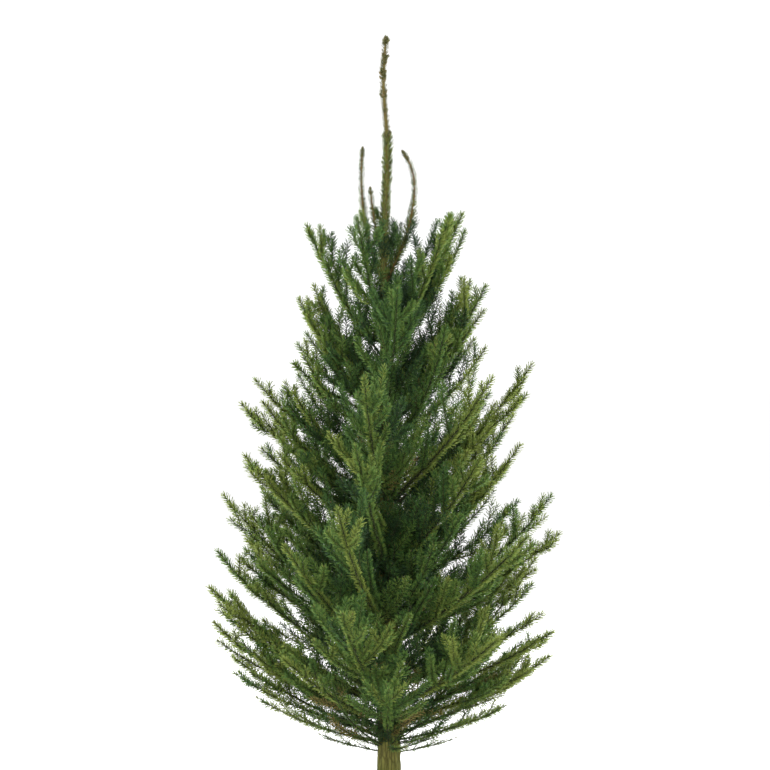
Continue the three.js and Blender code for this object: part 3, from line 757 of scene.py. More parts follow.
def bark_material(name, colours, stretch, grain, plates, depth, young=None):
    """Spruce bark: thin plates between darker furrows, with algae where it is old.

    grain and plates are the sizes of the streaks and plates in millimetres, stretch how much longer than wide
    they are, depth the bump's height, and young the bark's two colours above the last whorl.
    """
    furrow, plate, algae = (shade(code) for code in colours)
    material, shader = new_material(name, {"Base Color": plate, "Roughness": 0.85, "Specular IOR Level": 0.2})
    place = add_node(material, "TexCoord").outputs["Object"]
    drawn = add_node(material, "Mapping", {"Scale": (1, 1, 1 / stretch)}, {"Vector": place})
    streaks = add_node(material, "TexNoise", {"Scale": 1 / (grain * MM), "Detail": 5.0, "Roughness": 0.65},
                       {"Vector": drawn.outputs["Vector"]})
    cells = add_node(
        material, "TexVoronoi",
        {"feature": "DISTANCE_TO_EDGE", "Scale": 1 / (plates * MM), "Randomness": 0.9},
        {"Vector": drawn.outputs["Vector"]})
    sharper = add_node(
        material, "MapRange", {"From Min": 0.33, "From Max": 0.66}, {"Value": streaks.outputs["Fac"]})
    colour = add_node(material, "Mix", {"data_type": "RGBA", "A": furrow, "B": plate},
                      {"Factor": sharper.outputs["Result"]})
    # algae grow in broad patches
    patches = add_node(material, "TexNoise", {"Scale": 1 / (60 * MM), "Detail": 3.0}, {"Vector": place})
    damp = add_node(material, "MapRange", {"From Min": 0.42, "From Max": 0.68, "To Max": 0.6},
                    {"Value": patches.outputs["Fac"]})
    colour = add_node(material, "Mix", {"data_type": "RGBA", "B": algae},
                      {"Factor": damp.outputs["Result"], "A": colour.outputs["Result"]})
    # the cracks between the plates lie in shade
    edges = add_node(material, "MapRange", {"From Max": 0.13, "To Min": 0.7, "To Max": 0.0},
                     {"Value": cells.outputs["Distance"]})
    colour = add_node(material, "Mix", {"data_type": "RGBA", "B": furrow},
                      {"Factor": edges.outputs["Result"], "A": colour.outputs["Result"]})
    if young:
        # the smooth bark of the last years takes over between these heights, in metres
        parts = add_node(material, "SeparateXYZ", links={"Vector": place})
        height = add_node(
            material, "MapRange", {"From Min": 1.35, "From Max": 1.75}, {"Value": parts.outputs["Z"]})
        new_wood = add_node(
            material, "Mix", {"data_type": "RGBA", "A": shade(young[0]), "B": shade(young[1])},
            {"Factor": sharper.outputs["Result"]})
        colour = add_node(
            material, "Mix", {"data_type": "RGBA"},
            {"Factor": height.outputs["Result"], "A": colour.outputs["Result"],
             "B": new_wood.outputs["Result"]})
    gloss = add_node(
        material, "MapRange", {"To Min": 0.95, "To Max": 0.68}, {"Value": streaks.outputs["Fac"]})
    raised = add_node(material, "Math", {"operation": "SUBTRACT"},
                      {0: streaks.outputs["Fac"], 1: edges.outputs["Result"]})
    bump = add_node(
        material, "Bump", {"Strength": 0.8, "Distance": depth * MM}, {"Height": raised.outputs["Value"]})
    return connected(material, shader, colour, gloss, bump)


def bud_material():
    """Bud scales: papery ochre scales with darker edges."""
    material, shader = new_material("bud_scales", {"Base Color": shade("#584b22"), "Roughness": 0.55})
    place = add_node(material, "TexCoord").outputs["Object"]
    # a scale is about 1.6 mm wide
    scales = add_node(material, "TexVoronoi", {"Scale": 1 / (1.6 * MM)}, {"Vector": place})
    edge = scales.outputs["Distance"]
    colour = add_node(material, "Mix", {"data_type": "RGBA", "A": shade("#675828"), "B": shade("#403519")},
                      {"Factor": edge})
    gloss = add_node(material, "MapRange", {"To Min": 0.45, "To Max": 0.75}, {"Value": edge})
    bump = add_node(
        material, "Bump", {"Strength": 0.5, "Distance": 0.3 * MM, "invert": True}, {"Height": edge})
    return connected(material, shader, colour, gloss, bump)


def enamel_material():
    """Dark green stoving enamel on pressed steel: an even gloss, faint orange peel, dust near the floor."""
    material, shader = new_material("green_enamel",
        {"Base Color": shade("#1f4a31"), "Roughness": 0.3, "Coat Weight": 0.35, "Coat Roughness": 0.12})
    place = add_node(material, "TexCoord").outputs["Object"]
    # the coat runs thicker and darker in clouds of about 45 mm
    clouds = add_node(material, "TexNoise", {"Scale": 1 / (45 * MM), "Detail": 3.0}, {"Vector": place})
    colour = add_node(material, "Mix", {"data_type": "RGBA", "A": shade("#173c27"), "B": shade("#27573b")},
                      {"Factor": clouds.outputs["Fac"]})
    # dust and dried splashes of about 7 mm, mostly on the lowest 45 mm
    dust = add_node(
        material, "TexNoise", {"Scale": 1 / (7 * MM), "Detail": 6.0, "Roughness": 0.7}, {"Vector": place})
    parts = add_node(material, "SeparateXYZ", links={"Vector": place})
    low = add_node(
        material, "MapRange", {"From Min": 0.045, "From Max": 0.0, "To Min": 0.12, "To Max": 0.75},
        {"Value": parts.outputs["Z"]})
    speckle = add_node(
        material, "MapRange", {"From Min": 0.52, "From Max": 0.72}, {"Value": dust.outputs["Fac"]})
    dusty = add_node(material, "Math", {"operation": "MULTIPLY"},
                     {0: low.outputs["Result"], 1: speckle.outputs["Result"]})
    colour = add_node(material, "Mix", {"data_type": "RGBA", "B": shade("#7d7a66")},
                      {"Factor": dusty.outputs["Value"], "A": colour.outputs["Result"]})
    gloss = add_node(
        material, "MapRange", {"To Min": 0.26, "To Max": 0.42}, {"Value": clouds.outputs["Fac"]})
    rougher = add_node(material, "Math", {"operation": "MULTIPLY_ADD", 1: 0.45},
                       {0: dusty.outputs["Value"], 2: gloss.outputs["Result"]})
    # orange peel of about 2.5 mm
    peel = add_node(material, "TexNoise", {"Scale": 1 / (2.5 * MM), "Detail": 1.0}, {"Vector": place})
    bump = add_node(
        material, "Bump", {"Strength": 0.25, "Distance": 0.15 * MM}, {"Height": peel.outputs["Fac"]})
    return connected(material, shader, colour, rougher, bump)


def zinc_material():
    """Zinc-plated steel: a bluish metal with a yellow cast in clouds, and fine turning marks."""
    material, shader = new_material(
        "zinc_plated_steel", {"Base Color": shade("#b9bab4"), "Metallic": 1.0, "Roughness": 0.35})
    place = add_node(material, "TexCoord").outputs["Object"]
    # the passivation drifts from blue to yellow over about 14 mm
    cast = add_node(material, "TexNoise", {"Scale": 1 / (14 * MM), "Detail": 2.0}, {"Vector": place})
    colour = add_node(material, "Mix", {"data_type": "RGBA", "A": shade("#a9afb4"), "B": shade("#c3b990")},
                      {"Factor": cast.outputs["Fac"]})
    # scratches and finger marks of about 1.5 mm
    marks = add_node(material, "TexNoise", {"Scale": 1 / (1.5 * MM), "Detail": 4.0, "Roughness": 0.7},
                     {"Vector": place})
    gloss = add_node(
        material, "MapRange", {"To Min": 0.22, "To Max": 0.55}, {"Value": marks.outputs["Fac"]})
    bump = add_node(
        material, "Bump", {"Strength": 0.2, "Distance": 0.05 * MM}, {"Height": marks.outputs["Fac"]})
    return connected(material, shader, colour, gloss, bump)


# The crown's shoots

BOUGH, BRANCH = 0, 1  # the first two of the four ranks; twigs and sprigs follow
TWIG_RULE = dict(
    spacing=41, first=0.12, last=0.8, least=28, share=0.3, shortest=22, spread=0.85, forward=0.3, lift=0.4)
SPRIG_RULE = dict(
    spacing=36, first=0.25, last=0.8, least=18, share=0.3, shortest=20, spread=0.6, forward=0.5, lift=0.2)
SPRIG_STEM_LEAST = 76  # only twigs longer than this carry sprigs
BOUGH_TAPER = 0.8  # a bough's radius at its foot to the source's thickness
OLD_DEPTH = 0.55  # deeper than this, side branches of the lowest whorls have lost their first needles
CORE_SHARE = 0.58  # a shoot whose tip lies this share of the crown's reach inside it has depth 1
CORE_LEAST = 100
DEEPEST = 400
LOW = (430, 200)  # shoots count as low down from this height, and wholly so this far below it
HIGH = (1250, 250)  # and as high up from this height, and wholly so this far above it
SPRAY_DRAWS = 200000  # more than there are sprays: branches have the first, boughs those from the half
FIRST_BOUGH_SPRAY = SPRAY_DRAWS // 2


class Crown:
    """Every shoot of the crown, by rank: boughs 0, branches 1, twigs 2 and sprigs 3.

    All arrays hold one value to a shoot. depth grows from 0 at the crown's outline inwards, and spray is
    shared by all that stands on one branch.
    """

    def __init__(self, draw):
        boughs = source_boughs()
        boughs += [bough for bough in between_boughs(draw) if not in_hollow(bough["points"][None])[0]]
        boughs += bough_family(HOLLOW_SHOOTS, draw)
        branches, branch_lengths, branch_rows = grow_branches(boughs, draw)
        twigs, twig_lengths, twig_rows = grow_twigs(branches, branch_lengths, draw, **TWIG_RULE)
        sprig_stems = np.where(twig_lengths > SPRIG_STEM_LEAST, twig_lengths, 0)
        sprigs, sprig_lengths, sprig_rows = grow_twigs(twigs, sprig_stems, draw, **SPRIG_RULE)

        self.by_rank = [np.array([bough["points"] for bough in boughs]), branches, twigs, sprigs]
        self.lines = np.concatenate(self.by_rank)
        bough_lengths = [bough["length"] for bough in boughs]
        self.lengths = np.concatenate((bough_lengths, branch_lengths, twig_lengths, sprig_lengths))
        self.rank = np.repeat(np.arange(len(self.by_rank)), [len(lines) for lines in self.by_rank])
        branch_spray = np.arange(len(branches))
        twig_spray = branch_spray[twig_rows]
        bough_spray = np.arange(len(boughs)) + FIRST_BOUGH_SPRAY
        self.spray = np.concatenate((bough_spray, branch_spray, twig_spray, twig_spray[sprig_rows]))

        tips = self.lines[:, -1]
        tip_radius = np.hypot(tips[:, 0], tips[:, 1])
        tip_reach = outline_reach(tips[:, 2], np.arctan2(tips[:, 1], tips[:, 0]))
        inside = np.clip(tip_reach - tip_radius, 0, DEEPEST)
        self.depth = inside / np.maximum(CORE_SHARE * tip_reach, CORE_LEAST)
        self.facing = np.abs(tips[:, 1]) / np.maximum(tip_radius, 1)
        self.low_down = np.clip((LOW[0] - tips[:, 2]) / LOW[1], 0, 1)
        self.high_up = np.clip((tips[:, 2] - HIGH[0]) / HIGH[1], 0, 1)

        self.thick = BOUGH_TAPER * np.array([bough["thick"] for bough in boughs])
        self.is_upright = np.array([bough["tier"] == TOP_TIER for bough in boughs])
        self.upright = self.of_rank(BOUGH, self.is_upright)
        self.bare = self.of_rank(BOUGH, [bough["bare"] for bough in boughs])
        bough_loose = np.array([bough["points"][0, 2] < LOOSE_HEIGHT for bough in boughs])
        branch_loose = bough_loose[branch_rows]
        sprig_loose = np.zeros(len(sprigs), bool)
        self.loose = np.concatenate((bough_loose, branch_loose, branch_loose[twig_rows], sprig_loose))
        low_branch = np.array([boughs[row]["tier"] < 2 for row in branch_rows])
        self.old = self.of_rank(BRANCH, low_branch & (self.depth[self.rank == BRANCH] > OLD_DEPTH))

    def of_rank(self, rank, values):
        """The values of one rank, with nought for every other shoot."""
        full = np.zeros(len(self.rank), np.asarray(values).dtype)
        full[self.rank == rank] = values
        return full


# Needles of the crown

WOOD_UNDER_NEEDLES = [(0, 1.1), (2.2, 0.9), (1.0, 0.6), (1.0, 0.6)]  # by rank, at a shoot's foot and tip
FIRST_NEEDLES = [0.16, 0.08, 0.04, 0.04]  # by rank, where along a shoot they begin
OLD_FIRST_NEEDLES = 0.5
BARE_SHARE = 0.7  # how much of a bough's bare stretch has no needles
NEEDLE_DENSITY = [1.2, 0.82, 0.72, 0.72]  # by rank, to the millimetre
DEEP = 0.6  # shoots deeper than this carry fewer
DEEP_SHARE = 0.56
LOOSE_SHARE = 0.8
LOW_SPARSER = 0.4  # low down the needles stand less dense, and high up denser
HIGH_DENSER = 0.3
NEEDLE_LENGTHS = [16.0, 15.5, 15.5, 15.5]
NEEDLE_LEAN = (52.0, 20.0)  # degrees off the shoot along it and at its tip
NEEDLE_WIDTH = 2.8  # two or three times the real width, which wouldn't show
LOW_SHORTER = 3.5  # low down they are this much shorter and thinner
LOW_THINNER = 0.6
LOOSE_NEEDLE = (9.0, 2.0)  # length and width of the needles on the old, loose boughs
FRONT_SHADE = 0.44  # painted light: the sprays at the crown's left and right are painted a little lighter than those in front and behind, as if lit from the sides
LOW_SHADE = 0.22  # the lowest boughs are darker
HIGH_SHADE = 0.34  # and so are the short dense ones at the top
TIP_TONE = 1.12
DEPTH_SHADE = 0.95  # painted shade: how much darker the sprays grow inwards
FRONT_OPEN = 0.42  # and how much less of that in front and behind
TONE_VARY = (0.22, 0.12, 0.15)  # from spray to spray, from shoot to shoot and from needle to needle
# Spray tones from dark to light, from painted shade deep in the crown to painted light on its outer tips: the
# tone at which each gives way to the next, and its two colours
TONES = [
    ("needles_core", 0.0, "#132e16", "#23411a"),
    ("needles_deep", 0.3, "#2a4b1c", "#3e5f26"),
    ("needles_mid", 0.57, "#3e5d20", "#53702d"),
    ("needles_olive", 0.84, "#4f6725", "#647b34"),
    ("needles_lightest", math.inf, "#607329", "#7b863b"),
]
DRY_COLOURS = ("#5f5427", "#85763f")
DRY_SHARE = 0.008  # sprays deep in the crown that have dried out, and how many more low down
LOW_DRY_SHARE = 0.14
DRY_DEPTH = 0.35


def ranked(values, crown):
    """For every shoot, the value of its rank."""
    return np.array(values, float)[crown.rank]


def crown_needles(crown, draw):
    """The needles of every shoot: their corners, the shoot that each stands on, and its tone."""
    wood = ranked(WOOD_UNDER_NEEDLES, crown)
    wood[crown.rank == BOUGH, 0] = crown.thick
    first = ranked(FIRST_NEEDLES, crown)
    first = np.maximum(first, np.where(crown.old, OLD_FIRST_NEEDLES, crown.bare * BARE_SHARE))
    density = ranked(NEEDLE_DENSITY, crown) * np.where(crown.depth > DEEP, DEEP_SHARE, 1.0)
    density *= np.where(crown.loose, LOOSE_SHARE, 1.0)
    density *= 1 - LOW_SPARSER * crown.low_down + HIGH_DENSER * crown.high_up
    density[crown.upright] = 0
    length = ranked(NEEDLE_LENGTHS, crown) - LOW_SHORTER * crown.low_down
    length = np.where(crown.loose, LOOSE_NEEDLE[0], length)
    lean_base, lean_tip = (np.full(len(crown.lines), lean) for lean in NEEDLE_LEAN)
    width = np.where(crown.loose, LOOSE_NEEDLE[1], NEEDLE_WIDTH - LOW_THINNER * crown.low_down)
    corners, rows = needle_spikes(
        crown.lines, crown.lengths, wood, first, density, length, lean_base, lean_tip, draw, width)

    # painted light and shade: lightest at the tips on the crown's outline, painted shade inwards and in
    # front, and darker low down and high up
    facing = crown.facing**2
    tone = TIP_TONE - DEPTH_SHADE * (1 - FRONT_OPEN * facing) * crown.depth - FRONT_SHADE * facing
    tone = tone - LOW_SHADE * crown.low_down - HIGH_SHADE * crown.high_up
    by_spray, by_shoot, by_needle = TONE_VARY
    tone = tone + by_spray * draw.normal(0, 1, SPRAY_DRAWS)[crown.spray]
    tone = tone + by_shoot * draw.normal(0, 1, len(tone))
    return corners, rows, tone[rows] + by_needle * draw.normal(0, 1, len(rows))


def needle_pieces(crown, corners, rows, tone, draw):
    """The crown's needles, dealt out by tone to one piece for each green, and the dry ones."""
    dry = draw.uniform(0, 1, SPRAY_DRAWS)[crown.spray] < DRY_SHARE + LOW_DRY_SHARE * crown.low_down
    dry = (dry & (crown.depth > DRY_DEPTH))[rows]
    group = np.digitize(tone, [limit for _, limit, _, _ in TONES])
    pieces = []
    for k, (name, _, dark, light) in enumerate(TONES):
        pieces.append(spikes_piece(name, corners[(group == k) & ~dry], needle_material(name, dark, light)))
    pieces.append(spikes_piece("needles_dry", corners[dry], needle_material("needles_dry", *DRY_COLOURS)))
    return pieces


# The leader and the upright shoots beside it

# Buds sit in knots up the leader: height and how many
LEADER_KNOTS = [
    (1790, 2), (1832, 3), (1897, 2), (1943, 3), (1985, 2), (2003, 6), (2030, 2), (2051, 4), (2086, 4),
]
# Needles of the leader and of the upright shoots: the part of the line, the wood's radius at its two ends,
# needles to the millimetre, their length, their lean along the part and at its tip, and their width
LEADER_DRESS = [
    ((LEADER_BASE - 90, LEADER_YEAR), 7.2, 5.2, 1.8, 16.5, 43, 34, 3.0),
    ((LEADER_YEAR - 4, TREE_HEIGHT - 10), 4.3, 3.3, 1.15, 9.0, 54, 36, 2.7),
    ((TREE_HEIGHT - 16, TREE_HEIGHT - 3), 3.0, 2.0, 7.0, 10.0, 58, 16, 2.2),
]
UPRIGHT_DRESS = [
    ((0.1, 0.7), 3.2, 2.2, 1.2, 15, 50, 38, 3.1),
    ((0.7, 0.96), 2.2, 1.8, 1.1, 10.5, 56, 40, 2.5),
    ((0.955, 1.0), 1.8, 1.4, 3.0, 8.0, 58, 18, 2.2),
]
KNOT_DRESS = (2.4, 2.0, 3.4, 6.0, 46, 20, 1.8)
LEADER_TONES = [
    ("leader_needles_lower", "#47551f", "#6c7734"),
    ("leader_needles_shaded", "#2c3715", "#444f22"),
    ("leader_needles_upper", "#474a24", "#67663c"),
]
LONG_NEEDLE = 10  # shorter ones have mostly browned
SHORT_GREEN_SHARE = 0.25
SHADED_SHARE = 0.38
KNOT_WANDER = 0.45  # how far a bud strays from its even place round a knot
KNOT_DROP = (-9, 5)  # and below or above the knot's height
KNOT_RISE = (0.5, 1.5)  # how steeply its needles stand, and how long the stub is that they stand on
KNOT_STUB = (6, 14)
YEAR_BLUR = 8  # how far the green needles and the brown ones mix


def leader_line(low, high):
    """The leader's centre line from one height to another."""
    heights = np.linspace(low, high, LINE_POINTS)
    return np.array([trunk_point(trunk_share_at(z)) for z in heights])


def line_part(line, start, end):
    """A part of a line, with as many points."""
    t = np.linspace(start, end, LINE_POINTS)
    return frames_at(line[None], np.zeros(LINE_POINTS, int), t)[0]


def knot_turns(height, count, draw):
    """The ways that the buds of a knot point, one after another round the leader."""
    for k in range(count):
        turn = 2 * math.pi * (k + draw.uniform(-KNOT_WANDER, KNOT_WANDER)) / count + height
        yield math.cos(turn), math.sin(turn)


def leader_parts(upright_lines, draw):
    """What the leader and the upright shoots carry, as a line and its dress."""
    parts = [(leader_line(*span), *dress) for span, *dress in LEADER_DRESS]
    for line in upright_lines:
        parts += [(line_part(line, *span), *dress) for span, *dress in UPRIGHT_DRESS]
    for height, count in LEADER_KNOTS:
        middle = trunk_point(trunk_share_at(height))
        for x, y in knot_turns(height, count, draw):
            out = unit(np.array((x, y, draw.uniform(*KNOT_RISE))))
            foot = middle + VERTICAL * draw.uniform(*KNOT_DROP)
            stub = foot + out * np.linspace(0, draw.uniform(*KNOT_STUB), LINE_POINTS)[:, None]
            parts.append((stub, *KNOT_DRESS))
    return parts


def leader_pieces(upright_lines, draw):
    """The leader's needles: green on last year's growth, some of them shaded, and browner above it."""
    parts = leader_parts(upright_lines, draw)
    lines = np.array([part[0] for part in parts])
    lengths = np.array([line_length(line) for line in lines])
    dress = np.array([part[1:] for part in parts], float)
    wood, (density, needle_length, lean_base, lean_tip, width) = dress[:, :2], dress[:, 2:].T
    corners, rows = needle_spikes(
        lines, lengths, wood, np.zeros(len(parts)), density, needle_length, lean_base, lean_tip, draw, width)
    green = corners[:, 0, 2] < LEADER_YEAR + YEAR_BLUR * draw.normal(0, 1, len(rows))
    green &= (needle_length > LONG_NEEDLE)[rows] | (draw.uniform(0, 1, len(rows)) < SHORT_GREEN_SHARE)
    shaded = green & (draw.uniform(0, 1, len(rows)) < SHADED_SHARE)
    pieces = []
    for chosen, (name, dark, light) in zip((green & ~shaded, shaded, ~green), LEADER_TONES):
        pieces.append(spikes_piece(name, corners[chosen], needle_material(name, dark, light)))
    return pieces


# Wood of the crown

# Branches, twigs and sprigs: their radius at the foot and near the tip, rings and sides
FINE_WOOD = [(1.5, 0.8, 3, 4), (1.0, 0.6, 2, 3), (0.9, 0.6, 2, 3)]


def joined(parts):
    """Several arrays of points and faces as one."""
    points, faces, offset = [], [], 0
    for part_points, part_faces in parts:
        points.append(part_points)
        faces.append(part_faces + offset)
        offset += len(part_points)
    return np.concatenate(points), np.concatenate(faces)


def twig_piece(crown):
    """The wood of all branches, twigs and sprigs."""
    parts = [tubes(lines, *wood) for lines, wood in zip(crown.by_rank[BRANCH:], FINE_WOOD)]
    bark = bark_material("twig_bark", ("#2e3718", "#434b24", "#3c4a22"),
                         stretch=1.5, grain=4, plates=6, depth=0.3)
    return new_piece("twigs", *joined(parts), bark)


def bough_piece(crown):
    """The wood of all boughs but the upright shoots."""
    lines, thick = crown.by_rank[BOUGH][~crown.is_upright], crown.thick[~crown.is_upright]
    bark = bark_material("bough_bark", ("#22261a", "#3a3d22", "#34401f"),
                         stretch=1, grain=5, plates=7, depth=0.6)
    wood = tubes(lines, thick, tip_radius=1.1, rings=15, sides=6, relief=0.14)
    return new_piece("boughs", *wood, bark)


def upright_piece(crown):
    """The smoother wood of the upright shoots beside the leader."""
    lines, thick = crown.by_rank[BOUGH][crown.is_upright], crown.thick[crown.is_upright]
    bark = bark_material("young_bark", ("#57401f", "#8a6c42", "#6d6636"),
                         stretch=1.2, grain=4, plates=5, depth=0.4)
    wood = tubes(lines, thick, tip_radius=1.8, rings=40, sides=8, relief=0.2)
    return new_piece("upright_shoots", *wood, bark)


# Buds

# Length and radius of a side bud, of one in a knot, of one on an upright shoot and of the topmost
BUD = (5.5, 1.7)
KNOT_BUD = (14.0, 4.0)
UPRIGHT_BUD = (8.0, 3.0)
TOP_BUD = (12.0, 4.6)
UPRIGHT_BUD_PLACES = (0.66, 0.74, 0.83, 0.91, 1.0)
BUD_SWELL = ((0.3, 1.0), (0.7, 0.72))  # share of the length, and of the radius there
BUD_SINK = 1.5  # how far a bud is set back over its tip
BUD_EVERY = 3  # one branch in so many has a bud
KNOT_BUD_SEAT = 2  # from the leader's middle
KNOT_BUD_SIZES = (0.55, 1.1)
KNOT_BUD_RISE = 0.9
LAST_KNOT_RISE = 1.6  # the buds just under the tip point up more steeply
LAST_KNOT = TREE_HEIGHT - 20
UPRIGHT_BUD_VARY = 0.6


def bud_shapes(points, directions, length, radius):
    """Plump pointed buds of sixteen faces, from the points along the directions."""
    side = unit(np.cross(directions, VERTICAL + 0.01))
    up = np.cross(side, directions)
    sides = 4
    corners = [points]
    for share, swell in BUD_SWELL:
        for a in 2 * math.pi * np.arange(sides) / sides:
            around = side * math.cos(a) + up * math.sin(a)
            corners.append(points + directions * (length * share) + around * (radius * swell))
    corners.append(points + directions * length)
    pattern = []
    for j in range(sides):
        k = (j + 1) % sides
        low, high = 1, 1 + sides
        pattern += [(0, low + k, low + j), (low + j, low + k, high + k), (low + j, high + k, high + j),
                    (high + j, high + k, high + sides)]
    corners = np.stack(corners, axis=1)
    faces = np.array(pattern)[None] + (np.arange(len(points)) * corners.shape[1])[:, None, None]
    return corners.reshape(-1, 3), faces.reshape(-1, 3)


def bud_piece(crown, draw):
    """Buds on the tips of boughs and every third branch, up the leader and on the upright shoots."""
    lines = np.concatenate((crown.by_rank[BOUGH], crown.by_rank[BRANCH][::BUD_EVERY]))
    ahead = unit(lines[:, -1] - lines[:, -2])
    parts = [bud_shapes(lines[:, -1] - ahead * BUD_SINK, ahead, *BUD)]
    for height, count in LEADER_KNOTS:
        middle = trunk_point(trunk_share_at(height))
        rise = KNOT_BUD_RISE if height < LAST_KNOT else LAST_KNOT_RISE
        for x, y in knot_turns(height, count, draw):
            seat = middle + np.array((x, y, 0)) * KNOT_BUD_SEAT + VERTICAL * draw.uniform(*KNOT_DROP)
            size = draw.uniform(*KNOT_BUD_SIZES)
            out = unit(np.array((x, y, rise)))
            parts.append(bud_shapes(seat[None], out[None], *np.multiply(KNOT_BUD, size)))
    for line in crown.by_rank[BOUGH][crown.is_upright]:
        for share in UPRIGHT_BUD_PLACES:
            start, end = line_part(line, share - 0.02, share)[[0, -1]]
            aside = draw.uniform(-UPRIGHT_BUD_VARY, UPRIGHT_BUD_VARY, 3)
            out = unit(end - start + aside * np.linalg.norm(end - start))
            parts.append(bud_shapes(end[None], out[None], *UPRIGHT_BUD))
    foot = trunk_point(1.0) - VERTICAL * TOP_BUD[0]
    parts.append(bud_shapes(foot[None], VERTICAL[None], *TOP_BUD))
    return new_piece("buds", *joined(parts), bud_material())


# Modelling by hand

def metres(*values):
    """Millimetres as metres, for the operators."""
    return tuple(float(v) * MM for v in values)


def deselect():
    """Object mode, with nothing selected."""
    if bpy.context.object and bpy.context.object.mode != "OBJECT":
        bpy.ops.object.mode_set(mode="OBJECT")
    bpy.ops.object.select_all(action="DESELECT")


def chosen_alone(piece):
    """Select this piece only, and make it the active one."""
    deselect()
    piece.select_set(True)
    bpy.context.view_layer.objects.active = piece


def extruded(move, scale=1.0):
    """The selected face extruded by a move in metres and then scaled in the level plane."""
    bpy.ops.mesh.extrude_region_move(TRANSFORM_OT_translate={"value": move})
    if scale != 1.0:
        bpy.ops.transform.resize(value=(scale, scale, 1))


def disc(name, sides, radius, place):
    """A flat disc with its place in its mesh, selected in edit mode."""
    deselect()
    bpy.ops.mesh.primitive_circle_add(
        vertices=sides, radius=radius * MM, fill_type="NGON", location=metres(*place))
    piece = bpy.context.object
    piece.name = piece.data.name = name
    bpy.ops.object.transform_apply(location=True)
    bpy.ops.object.mode_set(mode="EDIT")
    bpy.ops.mesh.select_all(action="SELECT")
    return piece


def closed_up():
    """The edited mesh with its faces outwards, back in object mode."""
    bpy.ops.mesh.select_all(action="SELECT")
    bpy.ops.mesh.normals_make_consistent(inside=False)
    bpy.ops.object.mode_set(mode="OBJECT")


# Trunk: one ring after another is extruded up the centre line, and the bark's relief is pressed into it

TRUNK_SIDES = 20
# Close rings below the foliage, where the bark shows
LOW_RINGS = [FOOT_HEIGHT + 1.5, FOOT_HEIGHT + 4, *range(18, 330, 12)]
RING_HEIGHTS = [*LOW_RINGS, *range(345, 2080, 60), TREE_HEIGHT - 3]
SAW_CUT_EDGE = 4  # the relief fades out over this height towards the saw cut
# The thinner wood under the leader's needles: height and radius
LEADER_WOOD = [(1350, 12.9), (1545, 7.2), (LEADER_YEAR, 5.2), (LEADER_YEAR + 12, 4.4), (TREE_HEIGHT, 3.1)]
# The bark's relief: kind of texture, its size and strength, and how far it is stretched up the trunk
BARK_RELIEF = [
    ("fluting", "CLOUDS", 34, 4.2, 3.0),
    ("bark_scales", "VORONOI", 7, 2.6, 2.2),
    ("bark_grain", "STUCCI", 3, 1.5, 5.0),
]


def wood_radius(height):
    """The trunk's radius, or above the last whorls that of the wood under the leader's needles."""
    if height > LEADER_WOOD[0][0]:
        return float(np.interp(height, *np.array(LEADER_WOOD, float).T))
    return float(trunk_radius(height))


def relief(piece, name, kind, scale, strength, stretch, group):
    """A displacement by a procedural texture that is stretched up the trunk, applied."""
    texture = bpy.data.textures.new(name, kind)
    texture.noise_scale = scale * MM
    stretcher = bpy.data.objects.new(name, None)
    stretcher.scale = (1, 1, stretch)
    bpy.context.scene.collection.objects.link(stretcher)
    bpy.context.view_layer.update()
    modifier = piece.modifiers.new(name, "DISPLACE")
    modifier.texture = texture
    modifier.texture_coords = "OBJECT"
    modifier.texture_coords_object = stretcher
    modifier.strength = strength * MM
    modifier.mid_level = 0.5
    modifier.vertex_group = group
    bpy.context.view_layer.objects.active = piece
    bpy.ops.object.modifier_apply(modifier=name)
    bpy.data.objects.remove(stretcher)


def make_trunk():
    """The trunk and the leader's wood, from the saw cut up."""
    place = trunk_point(0)
    trunk = disc("trunk_bark", TRUNK_SIDES, wood_radius(FOOT_HEIGHT), place)
    for height in RING_HEIGHTS:
        after = trunk_point(trunk_share_at(height))
        extruded(metres(*(after - place)), wood_radius(height) / wood_radius(float(place[2])))
        place = after
    closed_up()
    smoother = trunk.modifiers.new("rounding", "SUBSURF")
    smoother.levels = smoother.render_levels = 2
    bpy.ops.object.modifier_apply(modifier="rounding")
    by_size = trunk.vertex_groups.new(name="by_size")
    for vertex in trunk.data.vertices:
        height = vertex.co.z / MM
        keep = min(1.0, max(0.0, (height - FOOT_HEIGHT) / SAW_CUT_EDGE))
        by_size.add([vertex.index], keep * min(1.0, wood_radius(height) / FOOT_RADIUS), "REPLACE")
    for layer in BARK_RELIEF:
        relief(trunk, *layer, "by_size")
    chosen_alone(trunk)
    bpy.ops.object.shade_smooth()
    trunk.data.materials.append(bark_material(
        "spruce_bark", ("#3f3c18", "#716e37", "#585f26"), stretch=6, grain=6, plates=8, depth=3,
        young=("#54481f", "#71653a")))
    return trunk


# Stand

def turned(name, profile, sides, material):
    """A closed turned body on the Z axis: a disc extruded ring by ring through (radius, height) points."""
    radius, height = profile[0]
    piece = disc(name, sides, radius, (0, 0, height))
    for after_radius, after_height in profile[1:]:
        extruded(metres(0, 0, after_height - height), after_radius / radius)
        radius, height = after_radius, after_height
    closed_up()
    piece.data.materials.append(material)
    return piece


def laid(piece, turn, place):
    """The piece turned and moved, with both applied."""
    piece.rotation_euler = turn
    piece.location = metres(*place)
    chosen_alone(piece)
    bpy.ops.object.transform_apply(location=True, rotation=True)
    return piece


def bevelled(piece, width, segments):
    """The piece with its sharp edges bevelled."""
    modifier = piece.modifiers.new("edges", "BEVEL")
    modifier.width = width * MM
    modifier.segments = segments
    modifier.limit_method = "ANGLE"
    modifier.angle_limit = math.radians(40)
    bpy.context.view_layer.objects.active = piece
    bpy.ops.object.modifier_apply(modifier="edges")


def merged(pieces, name):
    """Pieces joined into the first of them, smooth except across sharp edges."""
    deselect()
    for piece in pieces:
        piece.select_set(True)
    bpy.context.view_layer.objects.active = pieces[0]
    bpy.ops.object.join()
    bpy.ops.object.shade_smooth_by_angle(angle=math.radians(38))
    pieces[0].name = pieces[0].data.name = name
    return pieces[0]


